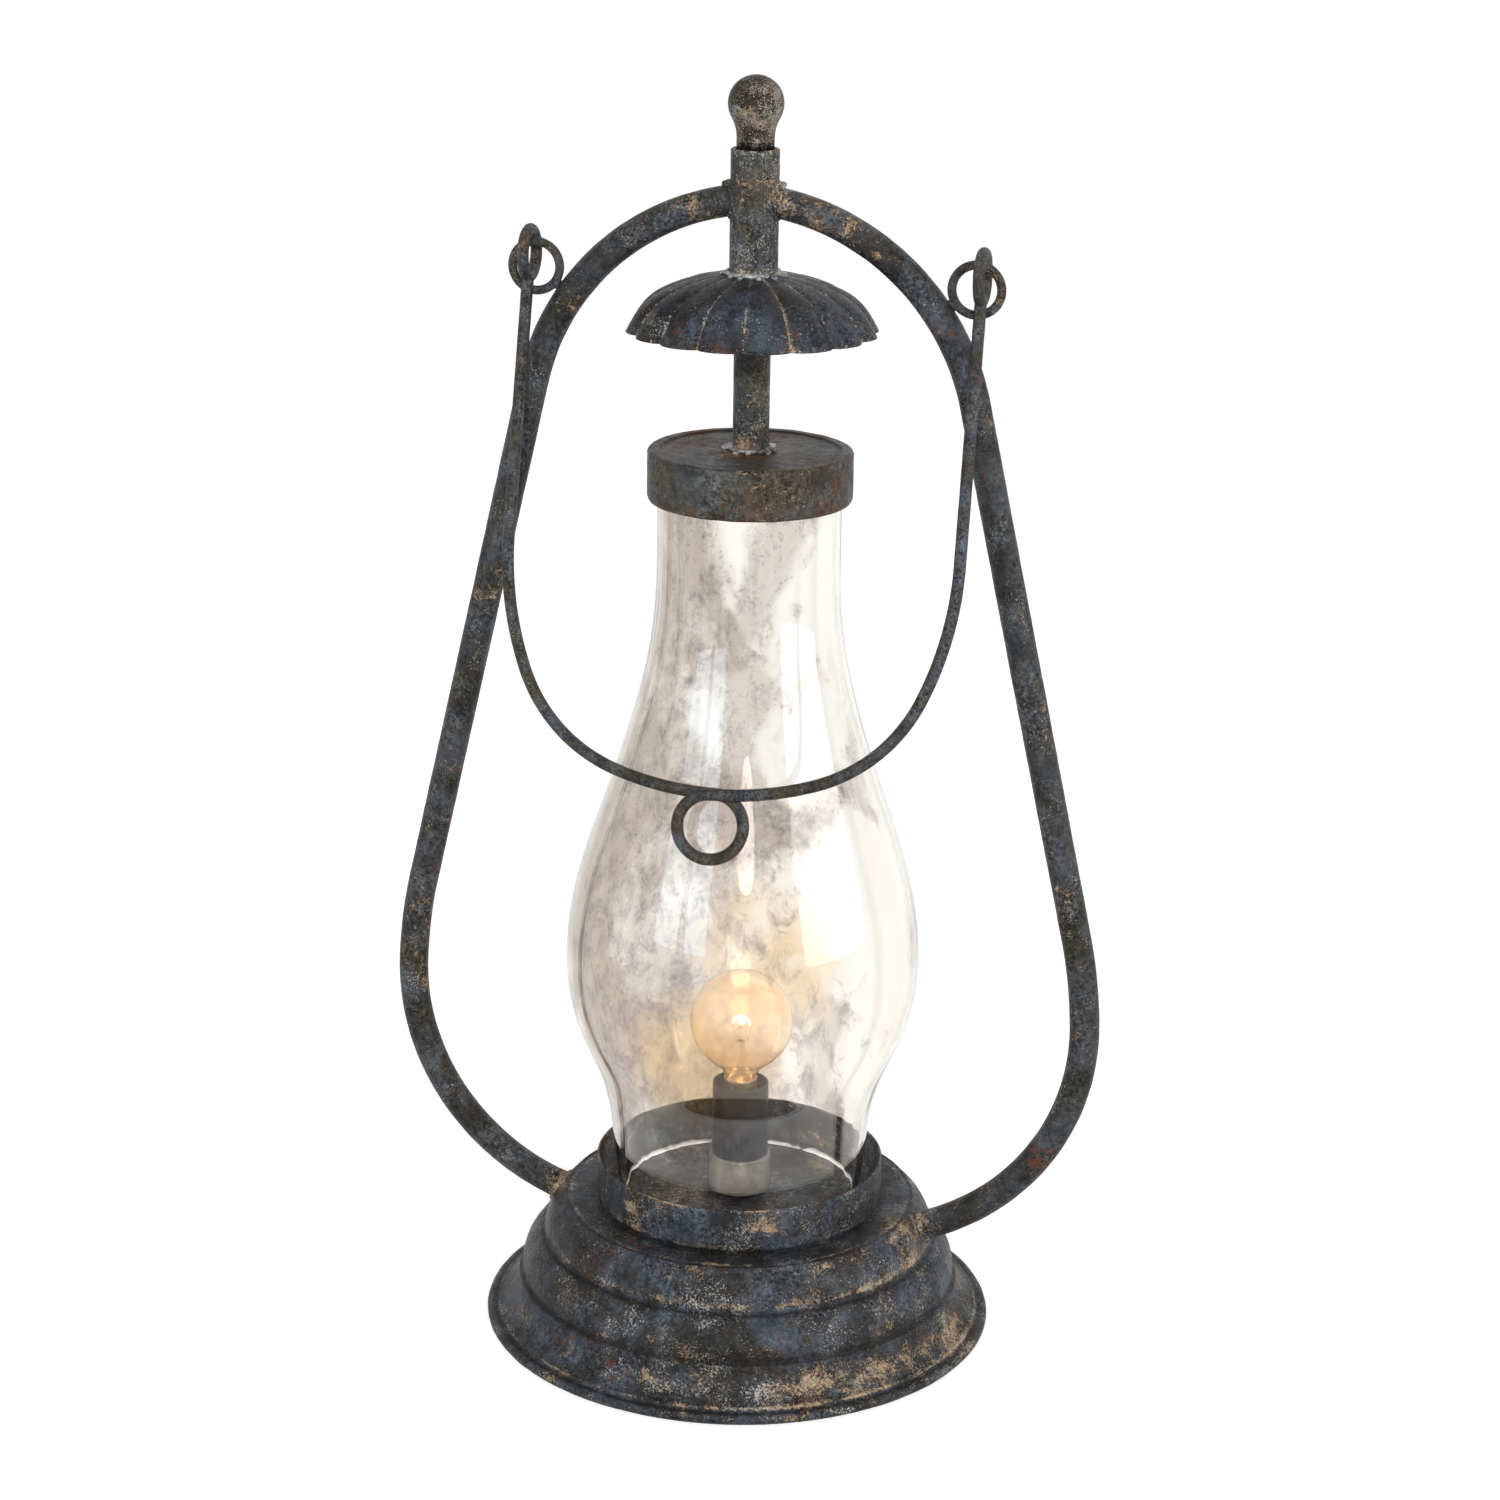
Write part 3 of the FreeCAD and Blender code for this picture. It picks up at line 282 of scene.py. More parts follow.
def sums(tree, kind, first, second=0.0, clamped=False):
    item = addNode(tree, "ShaderNodeMath", {0: first, 1: second}, operation=kind)
    item.use_clamp = clamped
    return item.outputs[0]


def plus(tree, first, second, clamped=False):
    return sums(tree, "ADD", first, second, clamped)


def times(tree, first, second):
    return sums(tree, "MULTIPLY", first, second)


def between(tree, value, low, high, first=0.0, last=1.0):
    return addNode(tree, "ShaderNodeMapRange", {0: value, 1: low, 2: high, 3: first, 4: last},
                   interpolation_type="SMOOTHSTEP").outputs[0]


def blended(tree, share, first, second, kind="MIX"):
    return addNode(tree, "ShaderNodeMix", {0: share, 6: first, 7: second},
                   data_type="RGBA", blend_type=kind, clamp_factor=True).outputs[2]


def shifted(tree, place, x, y, z):
    return addNode(tree, "ShaderNodeVectorMath", {0: place, 1: (x, y, z)}, operation="ADD").outputs[0]


def scaled(tree, place, x, y, z):
    return addNode(tree, "ShaderNodeVectorMath", {0: place, 1: (x, y, z)}, operation="MULTIPLY").outputs[0]


def newGroup(name, inputs, outputs):
    tree = bpy.data.node_groups.new(name, "ShaderNodeTree")
    for socketName, kind, value in inputs:
        socket = tree.interface.new_socket(socketName, in_out="INPUT", socket_type=kind)
        socket.default_value = value
    for socketName, kind in outputs:
        tree.interface.new_socket(socketName, in_out="OUTPUT", socket_type=kind)
    return tree, tree.nodes.new("NodeGroupInput"), tree.nodes.new("NodeGroupOutput")


def agedSteelGroup():
    # blackened steel: slate and brown-black coat, worn to tan flecks, rust spots and pale dust; a negative
    # wear level darkens it with grime and painted shade
    tree, given, result = newGroup("agedSteel", [
        ("Slate", "NodeSocketColor", display(74, 84, 96)),
        ("Brown", "NodeSocketColor", display(58, 54, 48)),
        ("Tan", "NodeSocketColor", display(184, 158, 128)),
        ("Rust", "NodeSocketColor", display(112, 66, 44)),
        ("Pale", "NodeSocketColor", display(206, 200, 190)),
        ("Brown Share", "NodeSocketFloat", 0.5),
        ("Fleck Share", "NodeSocketFloat", 0.1),
        ("Rust Share", "NodeSocketFloat", 0.05),
        ("Pale Share", "NodeSocketFloat", 0.05),
        ("Fineness", "NodeSocketFloat", 1.0),
        ("Wear And Shade", "NodeSocketFloat", 0.0),
    ], [("Color", "NodeSocketColor"), ("Roughness", "NodeSocketFloat"), ("Height", "NodeSocketFloat")])
    where = addNode(tree, "ShaderNodeTexCoord").outputs["Object"]
    place = addNode(tree, "ShaderNodeVectorMath", {0: where, "Scale": given.outputs["Fineness"]},
                    operation="SCALE").outputs[0]
    worn = sums(tree, "MAXIMUM", given.outputs["Wear And Shade"], 0.0)
    grimeAndShade = sums(tree, "MAXIMUM", times(tree, given.outputs["Wear And Shade"], -1.0), 0.0)

    # brown-black areas in the slate coat, then clouds, grit and pits over both
    fine = grain(tree, place, 560.0, 4.0, 0.75, 1.4)
    middle = grain(tree, shifted(tree, place, 1.3, 2.2, 0.9), 170.0, 3.0, 0.6)
    broad = grain(tree, place, 24.0, 5.0, 0.72, 0.5)
    brown = between(tree, plus(tree, broad, times(tree, given.outputs["Brown Share"], 0.3)),
                    0.52, 0.76)
    color = blended(tree, brown, given.outputs["Slate"], given.outputs["Brown"])
    cloud = grain(tree, shifted(tree, place, 3.1, 0.4, 1.7), 80.0, 6.0, 0.76)
    color = blended(tree, 1.0, color, between(tree, cloud, 0.30, 0.70, 0.45, 1.6), "MULTIPLY")
    grit = grain(tree, shifted(tree, place, 0.2, 5.0, 1.1), 420.0, 6.0, 0.80)
    coarse = grain(tree, shifted(tree, place, 5.5, 6.1, 0.3), 46.0, 4.0, 0.62)
    gritty = sums(tree, "MAXIMUM", between(tree, coarse, 0.42, 0.56, 0.35, 1.0), worn)
    color = blended(tree, gritty, color, between(tree, grit, 0.38, 0.64, 0.22, 2.1), "MULTIPLY")
    color = blended(tree, gritty, color, between(tree, fine, 0.34, 0.44, 0.2, 1.0), "MULTIPLY")

    # tan flecks gather in clusters and along worn edges
    cluster = grain(tree, shifted(tree, place, 4.3, 0.2, 2.9), 34.0, 4.0, 0.6)
    fleck = plus(tree, times(tree, fine, 0.7), times(tree, middle, 0.3))
    fleck = plus(tree, fleck, times(tree, cluster, 0.5))
    fleck = plus(tree, fleck, times(tree, worn, 0.15))
    fleck = plus(tree, fleck, given.outputs["Fleck Share"])
    fleckMask = between(tree, fleck, 0.885, 0.92)
    tanShade = between(tree, grit, 0.35, 0.65, 0.5, 1.3)
    tan = blended(tree, 1.0, given.outputs["Tan"], tanShade, "MULTIPLY")
    color = blended(tree, times(tree, fleckMask, 0.9), color, tan)
    ridge = times(tree, between(tree, worn, 0.5, 0.9), between(tree, middle, 0.42, 0.56, 0.05, 0.85))
    ridge = times(tree, ridge, between(tree, fine, 0.47, 0.56, 0.06, 1.0))
    color = blended(tree, ridge, color, tan)

    # rust spots, larger and softer
    rustFine = grain(tree, shifted(tree, place, 8.1, 3.3, 0.7), 300.0, 4.0, 0.7)
    rustCluster = grain(tree, shifted(tree, place, 2.7, 7.7, 5.1), 30.0, 3.0, 0.6)
    rust = plus(tree, times(tree, rustFine, 0.6), times(tree, rustCluster, 0.6))
    rust = plus(tree, rust, given.outputs["Rust Share"])
    rustMask = between(tree, rust, 0.70, 0.80)
    color = blended(tree, times(tree, rustMask, 0.6), color, given.outputs["Rust"])

    # pale dust and bare specks
    paleFine = grain(tree, shifted(tree, place, 6.6, 1.9, 9.2), 900.0, 3.0, 0.7)
    paleCluster = grain(tree, shifted(tree, place, 9.4, 4.8, 3.3), 60.0, 3.0, 0.6)
    pale = plus(tree, times(tree, paleFine, 0.7), times(tree, paleCluster, 0.4))
    pale = plus(tree, pale, times(tree, worn, 0.07))
    pale = plus(tree, pale, given.outputs["Pale Share"])
    paleMask = between(tree, pale, 0.66, 0.74)
    color = blended(tree, times(tree, paleMask, 0.7), color, given.outputs["Pale"])
    # grime and painted shade: a negative wear level darkens the coat toward near black
    color = blended(tree, times(tree, grimeAndShade, 0.8), color, display(16, 15, 14))

    rough = plus(tree, between(tree, middle, 0.3, 0.7, 0.26, 0.38), times(tree, gritty, 0.12))
    rough = plus(tree, rough, times(tree, fleckMask, 0.2))
    rough = plus(tree, rough, times(tree, rustMask, 0.15), clamped=True)
    height = plus(tree, times(tree, fine, 0.3), times(tree, middle, 0.45))
    height = plus(tree, height, times(tree, fleckMask, 0.25))
    height = plus(tree, height, times(tree, grit, 0.5))
    tree.links.new(color, result.inputs["Color"])
    tree.links.new(rough, result.inputs["Roughness"])
    tree.links.new(height, result.inputs["Height"])
    return tree


def specksGroup():
    # a plain finish broken up by clouds and fine specks
    tree, given, result = newGroup("cloudsAndSpecks", [
        ("Color", "NodeSocketColor", (0.5, 0.5, 0.5, 1)),
        ("Specks", "NodeSocketColor", (0.2, 0.2, 0.2, 1)),
        ("Cloud Scale", "NodeSocketFloat", 60.0),
        ("Speck Scale", "NodeSocketFloat", 900.0),
        ("Speck Share", "NodeSocketFloat", 0.05),
        ("Depth", "NodeSocketFloat", 0.2),
    ], [("Color", "NodeSocketColor"), ("Mask", "NodeSocketFloat"), ("Height", "NodeSocketFloat")])
    place = addNode(tree, "ShaderNodeTexCoord").outputs["Object"]
    cloud = grain(tree, place, given.outputs["Cloud Scale"], 4.0, 0.6)
    speck = grain(tree, shifted(tree, place, 2.0, 5.0, 3.0), given.outputs["Speck Scale"], 3.0, 0.6)
    low = sums(tree, "SUBTRACT", 1.0, given.outputs["Depth"])
    shade = addNode(tree, "ShaderNodeMapRange", {0: cloud, 1: 0.3, 2: 0.7, 3: low, 4: 1.05}).outputs[0]
    color = blended(tree, 1.0, given.outputs["Color"], shade, "MULTIPLY")
    mask = between(tree, plus(tree, speck, given.outputs["Speck Share"]), 0.60, 0.68)
    color = blended(tree, mask, color, given.outputs["Specks"])
    tree.links.new(color, result.inputs["Color"])
    tree.links.new(mask, result.inputs["Mask"])
    tree.links.new(plus(tree, cloud, times(tree, speck, 0.5)), result.inputs["Height"])
    return tree


agedSteel = agedSteelGroup()
cloudsAndSpecks = specksGroup()


def startMaterial(name):
    material = bpy.data.materials.new(name)
    material.use_nodes = True
    tree = material.node_tree
    return material, tree, tree.nodes["Principled BSDF"]


def steelMaterial(name, metal=0.15, shine=0.12, bump=1.0, depth=0.001, **values):
    material, tree, shader = startMaterial(name)
    coat = tree.nodes.new("ShaderNodeGroup")
    coat.node_tree = agedSteel
    for key, value in values.items():
        coat.inputs[key.replace("_", " ")].default_value = value
    wearAndShade = addNode(tree, "ShaderNodeAttribute", attribute_name="wearAndShade")
    tree.links.new(wearAndShade.outputs["Fac"], coat.inputs["Wear And Shade"])
    tree.links.new(coat.outputs["Color"], shader.inputs["Base Color"])
    tree.links.new(coat.outputs["Roughness"], shader.inputs["Roughness"])
    bumped = addNode(tree, "ShaderNodeBump", {"Height": coat.outputs["Height"], "Strength": bump,
                                              "Distance": depth})
    tree.links.new(bumped.outputs["Normal"], shader.inputs["Normal"])
    shader.inputs["Metallic"].default_value = metal
    shader.inputs["Specular IOR Level"].default_value = shine
    return material


def plainMaterial(name, color, specks, rough=0.5, metal=0.0, bump=0.2, depth=0.0002, **values):
    material, tree, shader = startMaterial(name)
    finish = tree.nodes.new("ShaderNodeGroup")
    finish.node_tree = cloudsAndSpecks
    finish.inputs["Color"].default_value = display(*color)
    finish.inputs["Specks"].default_value = display(*specks)
    for key, value in values.items():
        finish.inputs[key.replace("_", " ")].default_value = value
    tree.links.new(finish.outputs["Color"], shader.inputs["Base Color"])
    spread = between(tree, finish.outputs["Height"], 0.5, 1.0, rough - 0.08, rough + 0.12)
    tree.links.new(spread, shader.inputs["Roughness"])
    bumped = addNode(tree, "ShaderNodeBump", {"Height": finish.outputs["Height"], "Strength": bump,
                                              "Distance": depth})
    tree.links.new(bumped.outputs["Normal"], shader.inputs["Normal"])
    shader.inputs["Metallic"].default_value = metal
    return material


def clearInShadow(tree, shader):
    # glass lets the lamps' light straight through
    output = tree.nodes["Material Output"]
    clearPart = tree.nodes.new("ShaderNodeBsdfTransparent")
    path = tree.nodes.new("ShaderNodeLightPath")
    mixed = tree.nodes.new("ShaderNodeMixShader")
    tree.links.new(path.outputs["Is Shadow Ray"], mixed.inputs[0])
    tree.links.new(shader.outputs[0], mixed.inputs[1])
    tree.links.new(clearPart.outputs[0], mixed.inputs[2])
    tree.links.new(mixed.outputs[0], output.inputs["Surface"])


def chimneyGlass():
    # clear blown glass with a smoky, streaked tint and a painted warm pool of bulb light round the bulb
    material, tree, shader = startMaterial("chimneyGlass")
    where = addNode(tree, "ShaderNodeTexCoord").outputs["Object"]
    stretched = scaled(tree, where, 1.0, 1.0, 0.75)
    apart = addNode(tree, "ShaderNodeSeparateXYZ", {0: where})
    cloud = grain(tree, stretched, 15.0, 4.0, 0.52, 0.7)
    wisps = grain(tree, shifted(tree, stretched, 2.0, 1.0, 4.0), 84.0, 6.0, 0.74, 0.7)
    soot = grain(tree, shifted(tree, where, 5.0, 2.0, 7.0), 330.0, 4.0, 0.65)
    smoke = plus(tree, times(tree, cloud, 0.80), times(tree, wisps, 0.20))
    smoke = plus(tree, smoke, times(tree, apart.outputs[0], -1.2))
    smokeMask = between(tree, smoke, 0.465, 0.565)
    color = blended(tree, smokeMask, (0.998, 0.996, 0.99, 1), display(220, 214, 208))
    purple = between(tree, sums(tree, "SUBTRACT", wisps, times(tree, apart.outputs[2], 0.30)),
                     0.42, 0.54, 0.0, 0.8)
    color = blended(tree, times(tree, purple, smokeMask), color, display(188, 182, 186))
    upright = scaled(tree, where, 1.0, 1.0, 0.05)
    streak = between(tree, grain(tree, upright, 240.0, 3.0, 0.6), 0.52, 0.66, 0.0, 0.7)
    streak = times(tree, streak, between(tree, wisps, 0.42, 0.60))
    color = blended(tree, times(tree, streak, smokeMask), color, display(182, 176, 172))
    specks = between(tree, plus(tree, times(tree, soot, 0.6), times(tree, wisps, 0.5)),
                     0.61, 0.66, 0.0, 0.7)
    color = blended(tree, times(tree, specks, smokeMask), color, display(158, 148, 142))
    # painted light: the bulb's warm light laid on the glass round the bulb, as colour and a faint glow
    paintedBulbLightCentre = (0.0, 0.0, 0.180)
    reach = addNode(tree, "ShaderNodeVectorMath", {0: scaled(tree, where, 1.0, 0.0, 1.0), 1: paintedBulbLightCentre},
                    operation="DISTANCE").outputs[1]
    near = between(tree, plus(tree, reach, times(tree, wisps, 0.03)), 0.034, 0.066, 1.0, 0.0)
    paintedBulbLight = times(tree, near, between(tree, cloud, 0.36, 0.56, 0.35, 1.0))
    color = blended(tree, times(tree, paintedBulbLight, 0.9), color, display(236, 214, 182))
    facing = addNode(tree, "ShaderNodeLayerWeight", {"Blend": 0.5}).outputs["Facing"]
    color = blended(tree, between(tree, facing, 0.72, 0.96, 0.0, 0.75), color, display(150, 142, 124))
    # the ground foot edge is white and matt, and glows white: a painted highlight along the foot
    edge = addNode(tree, "ShaderNodeAttribute", attribute_name="wearAndShade").outputs["Fac"]
    groundFootAndGlow = between(tree, edge, 0.3, 0.8)
    color = blended(tree, groundFootAndGlow, color, (0.97, 0.97, 0.97, 1))
    tree.links.new(color, shader.inputs["Base Color"])
    tree.links.new(between(tree, edge, 0.3, 0.8, 0.015, 0.6), shader.inputs["Roughness"])
    glow = blended(tree, paintedBulbLight, (0, 0, 0, 1), (0.03, 0.018, 0.008, 1))
    glow = blended(tree, groundFootAndGlow, glow, (1, 1, 1, 1))
    tree.links.new(glow, shader.inputs["Emission Color"])
    depth = addNode(tree, "ShaderNodeVolumeAbsorption", {"Color": (0.86, 0.82, 0.73, 1), "Density": 85.0})
    tree.links.new(depth.outputs[0], tree.nodes["Material Output"].inputs["Volume"])
    shader.inputs["Emission Strength"].default_value = 0.4
    shader.inputs["Transmission Weight"].default_value = 1.0
    shader.inputs["IOR"].default_value = 1.46
    clearInShadow(tree, shader)
    return material


def bulbGlass():
    material, tree, shader = startMaterial("bulbAmberGlass")
    where = addNode(tree, "ShaderNodeTexCoord").outputs["Object"]
    cloud = grain(tree, where, 70.0, 3.0, 0.5)
    color = blended(tree, between(tree, cloud, 0.35, 0.65), display(252, 246, 236), display(248, 238, 221))
    tree.links.new(color, shader.inputs["Base Color"])
    apart = addNode(tree, "ShaderNodeSeparateXYZ", {0: where})
    rise = sums(tree, "ABSOLUTE", sums(tree, "SUBTRACT", apart.outputs[2], 0.171))
    lit = between(tree, rise, 0.004, 0.030, 1.0, 0.2)
    glow = blended(tree, lit, display(236, 200, 160), display(250, 236, 220))
    tree.links.new(glow, shader.inputs["Emission Color"])
    depth = addNode(tree, "ShaderNodeVolumeAbsorption", {"Color": (0.93, 0.80, 0.60, 1), "Density": 300.0})
    tree.links.new(depth.outputs[0], tree.nodes["Material Output"].inputs["Volume"])
    shader.inputs["Emission Strength"].default_value = 0.07
    shader.inputs["Transmission Weight"].default_value = 1.0
    shader.inputs["Roughness"].default_value = 0.08
    shader.inputs["IOR"].default_value = 1.45
    clearInShadow(tree, shader)
    return material


def stemGlass():
    material, tree, shader = startMaterial("bulbStemGlass")
    where = addNode(tree, "ShaderNodeTexCoord").outputs["Object"]
    cloud = between(tree, grain(tree, where, 200.0, 2.0), 0.35, 0.65)
    tree.links.new(blended(tree, cloud, display(250, 244, 232), display(232, 226, 214)),
                   shader.inputs["Base Color"])
    shader.inputs["Transmission Weight"].default_value = 1.0
    shader.inputs["Roughness"].default_value = 0.05
    clearInShadow(tree, shader)
    return material


def filamentGlow():
    material, tree, shader = startMaterial("filamentGlow")
    where = addNode(tree, "ShaderNodeTexCoord").outputs["Object"]
    heat = between(tree, grain(tree, where, 700.0, 2.0), 0.35, 0.65)
    glow = blended(tree, heat, display(255, 214, 150), display(255, 240, 205))
    tree.links.new(glow, shader.inputs["Base Color"])
    tree.links.new(glow, shader.inputs["Emission Color"])
    shader.inputs["Emission Strength"].default_value = 2.5
    return material


blackenedSteel = steelMaterial("blackenedSteel", Slate=display(68, 72, 77), Brown=display(54, 52, 47),
                               Brown_Share=0.42, Fleck_Share=0.03, Rust_Share=0.01, Pale_Share=0.01)
upperSteel = steelMaterial("sleeveSteel", Slate=display(68, 72, 76), Brown=display(74, 69, 60),
                           Brown_Share=0.5, Fleck_Share=0.02, Rust_Share=0.0, Pale_Share=0.06)
ballSteel = steelMaterial("ballSteel", Slate=display(48, 47, 46), Brown=display(54, 46, 40),
                          Brown_Share=0.6, Fleck_Share=0.07, Rust_Share=0.05, Pale_Share=0.09, Fineness=1.5)
capSteel = steelMaterial("capSteel", Slate=display(74, 76, 77), Brown=display(74, 68, 57),
                         Brown_Share=0.6, Fleck_Share=0.0, Rust_Share=0.09, Pale_Share=-0.02)
bellSteel = steelMaterial("bellSteel", Slate=display(66, 73, 82), Brown=display(46, 43, 40),
                          Brown_Share=0.5, Fleck_Share=0.0, Rust_Share=0.05, Pale_Share=0.03)
baseSteel = steelMaterial("baseSteel", Slate=display(68, 74, 82), Brown=display(48, 46, 43),
                          Brown_Share=0.45, Fleck_Share=0.03, Rust_Share=0.02, Pale_Share=0.03)
wireSteel = steelMaterial("wireSteel", Slate=display(72, 77, 83), Brown=display(68, 64, 56),
                          Brown_Share=0.5, Fleck_Share=0.0, Rust_Share=0.0, Pale_Share=0.0, Fineness=1.4)
weldSteel = steelMaterial("weldSteel", metal=0.6, shine=0.5, Slate=display(150, 154, 158),
                          Brown=display(66, 64, 60), Brown_Share=0.42, Fleck_Share=0.0, Rust_Share=0.0,
                          Pale_Share=0.12, Fineness=1.6)
feltPad = plainMaterial("feltPad", (40, 42, 40), (70, 70, 66), 0.9, bump=0.6, Cloud_Scale=180.0,
                        Speck_Scale=2200.0, Speck_Share=0.08)
bushingPlastic = plainMaterial("bushingPlastic", (34, 34, 35), (60, 60, 60), 0.45, Speck_Share=0.0)
zincSteel = plainMaterial("zincSteel", (170, 168, 160), (120, 116, 104), 0.35, metal=0.9, Speck_Scale=1400.0)
# a pale band on the holder's foot ring
paleHolderFoot = plainMaterial("paleHolderFoot", (108, 106, 100), (80, 77, 70), 0.4, Cloud_Scale=110.0, Depth=0.4,
                            Speck_Share=0.05)
darkInsulator = plainMaterial("darkInsulator", (28, 28, 35), (52, 50, 54), 0.38, Cloud_Scale=120.0,
                              Depth=0.4, Speck_Share=0.02)
whiteCeramic = plainMaterial("whiteCeramic", (214, 210, 200), (170, 160, 146), 0.3)
brassMetal = plainMaterial("brassMetal", (196, 158, 92), (120, 92, 50), 0.3, metal=1.0, Speck_Scale=1500.0)
brightMetal = plainMaterial("brightMetal", (196, 190, 180), (130, 122, 110), 0.25, metal=0.9,
                            Speck_Scale=1800.0)
blackGlass = plainMaterial("blackGlass", (24, 24, 27), (48, 48, 52), 0.12, Speck_Share=-0.05)
clearGlass = chimneyGlass()
amberGlass = bulbGlass()
innerGlass = stemGlass()
hotFilament = filamentGlow()
print("materials made")

# ---- base: spun steel with bands and a wired edge
baseSkirt = {
    "segments": 300, "spacing": 1.5,
    "outline": [(5.2, 71.0), (93.6, 71.0), (94.4, 70.7), (95.2, 71.0, -0.1), (96.9, 69.3, 0.595),
                (106.9, 51.6, 2.3), (107.1, 50.0, -0.2), (109.0, 48.7, -0.2), (119.0, 29.0, 2.9),
                (119.3, 27.3, -0.2), (121.0, 26.2, -0.2), (131.0, 8.6, -2.5), (132.5, 7.9, 0.5),
                (134.231, 6.384, -0.4), (133.591, 2.091, 4.887), (130.15, 6.9), (119.35, 25.3, 1.9),
                (117.65, 28.4), (107.15, 48.25, -2.0), (105.65, 51.0), (95.4, 68.25, -1.6),
                (94.6, 69.5), (5.2, 69.5)],
    # negative entries darken the steel: grime and painted shade in the grooves and the crease above the wired
    # rim, painted shade round the pan's foot, and a darker shoulder
    "worn": [(94.5, 70.9, 0.7, -0.9), (98.0, 68.4, 2.0, 0.35), (106.2, 53.6, 2.6, 0.75),
             (107.6, 49.4, 1.7, -1.0), (110.2, 46.6, 1.2, 0.4), (119.4, 27.6, 1.8, -0.9),
             (117.4, 32.5, 3.0, -0.35), (126.0, 16.0, 6.5, 0.6), (131.9, 8.1, 1.0, 1.3),
             (137.6, 5.2, 1.2, 0.4), (134.0, 6.9, 0.9, -1.0), (79.5, 71.0, 1.6, -0.7),
             (86.0, 71.0, 6.0, -0.3), (92.6, 71.0, 1.3, 0.75)],
    # the negative patch darkens the left flank: painted shade
    "patches": [((124, -24, 14), 22, 0.5), ((61, -110, 14), 20, 0.45), ((96, -26, 62), 15, 0.75),
                ((-92, -20, 60), 12, 0.3), ((-112, -60, 35), 62, -0.45)],
    "dents": (0.4, 18.0), "inlet": (0.0, 116.4, 39.0), "inletWay": (0.0, 0.9135, 0.4067), "inletHole": 6.2,
}


def cutAway(part, keep):
    # drops the faces whose middle isn't kept
    points, faces, wearAndShade = part
    kept = [face for face in faces if keep(sum((points[i] for i in face), Vector((0, 0, 0))) / len(face))]
    used = sorted(set(index for face in kept for index in face))
    renumber = {old: new for new, old in enumerate(used)}
    return ([points[i] for i in used], [tuple(renumber[i] for i in face) for face in kept],
            [wearAndShade[i] for i in used])


inletAt, inletWay = Vector(baseSkirt["inlet"]), Vector(baseSkirt["inletWay"])


def besideInlet(place):
    reach = place - inletAt
    away = (reach - inletWay * reach.dot(inletWay)).length
    return abs(reach.dot(inletWay)) > 15 or away > baseSkirt["inletHole"]


skirt = turned(outlineFrom(baseSkirt["outline"], baseSkirt["spacing"]), baseSkirt["segments"],
               baseSkirt["worn"], patches=baseSkirt["patches"])
placed("spunBaseSkirt", [cutAway(skirt, besideInlet)], "lamp", baseSteel, ["base_shell"],
       rough=baseSkirt["dents"])
print("base made")

# ---- gallery pan
panRing = {
    "segments": 240, "spacing": 1.4,
    "outline": [(5.2, 71.3), (76.5, 71.3), (78.0, 72.8, -0.44), (78.0, 94.2), (76.4, 94.2, -0.8),
                (76.4, 73.7), (75.5, 72.8, 0.26), (5.2, 72.8)],
    # the negative entry darkens the pan's floor
    "worn": [(77.4, 95.0, 0.9, 0.8), (78.6, 74.0, 3.0, 0.4), (78.6, 84.0, 2.5, 0.3),
             (48.0, 72.8, 24.0, -0.3)],
    "patches": [((36, -69, 83), 9, 0.75), ((-45, -64, 85), 7, 0.6), ((-12, -77, 78), 12, 0.25)],
    "dents": (0.2, 12.0),
}
placed("galleryPan", [turned(outlineFrom(panRing["outline"], panRing["spacing"]), panRing["segments"],
                             panRing["worn"], patches=panRing["patches"])],
       "lamp", baseSteel, ["gallery_pan"], rough=panRing["dents"])

# ---- glass chimney, blown, so its wall ripples a little
chimney = {
    "foot": (65.8, 74.6), "bulge": (94.9, 211.6), "neck": (47.9, 440.1), "top": 484.8, "wall": 3.0,
    "segments": 240, "spacing": 2.2, "ripple": 0.14,
    "footToBulge": [(0.143, 0.076), (0.322, 0.172), (0.52, 0.405), (0.682, 0.735), (0.852, 0.955)],
    "bulgeToNeck": [(0.13, 0.062), (0.261, 0.223), (0.391, 0.438), (0.522, 0.645), (0.652, 0.823),
                    (0.783, 0.945), (0.913, 0.994)],
}


def chimneyOutline():
    def along(start, end, shares):
        return [(start[0] + across * (end[0] - start[0]), start[1] + up * (end[1] - start[1]))
                for up, across in shares]

    foot, bulge, neck, wall = (chimney[key] for key in ("foot", "bulge", "neck", "wall"))
    outside = [foot] + along(foot, bulge, chimney["footToBulge"]) + [bulge]
    outside += along(bulge, neck, chimney["bulgeToNeck"]) + [neck, (neck[0], chimney["top"])]
    outer = smoothThrough(outside, chimney["spacing"])
    inner = smoothThrough([(radius - wall, height) for radius, height in reversed(outside)],
                          chimney["spacing"])
    topLip = bowPoints(outer[-1], inner[0], -wall / 2, 0.8)
    footLip = bowPoints(inner[-1], outer[0], -wall / 2, 0.8)
    return outer + topLip[:-1] + inner + footLip[:-1], len(outer)


def glassRipple(radius, height, turn, index):
    # long upright streaks, stronger on the inside of the wall
    around = Vector((math.cos(turn) * 5, math.sin(turn) * 5, height / 90))
    wide = noise.noise(around) * 0.6 + noise.noise(around * 2.3) * 0.4
    inside = index > chimneyOuterCount
    size = chimney["ripple"] * (1.0 if inside else 0.5)
    return size * wide, 0.0


chimneyPoints, chimneyOuterCount = chimneyOutline()
placed("blownGlassChimney", [turned(chimneyPoints, chimney["segments"], [(64.3, 74.2, 1.7, 1.9)],
                                    uneven=glassRipple)],
       "lamp", clearGlass, ["chimney_glass"])
print("glass made")

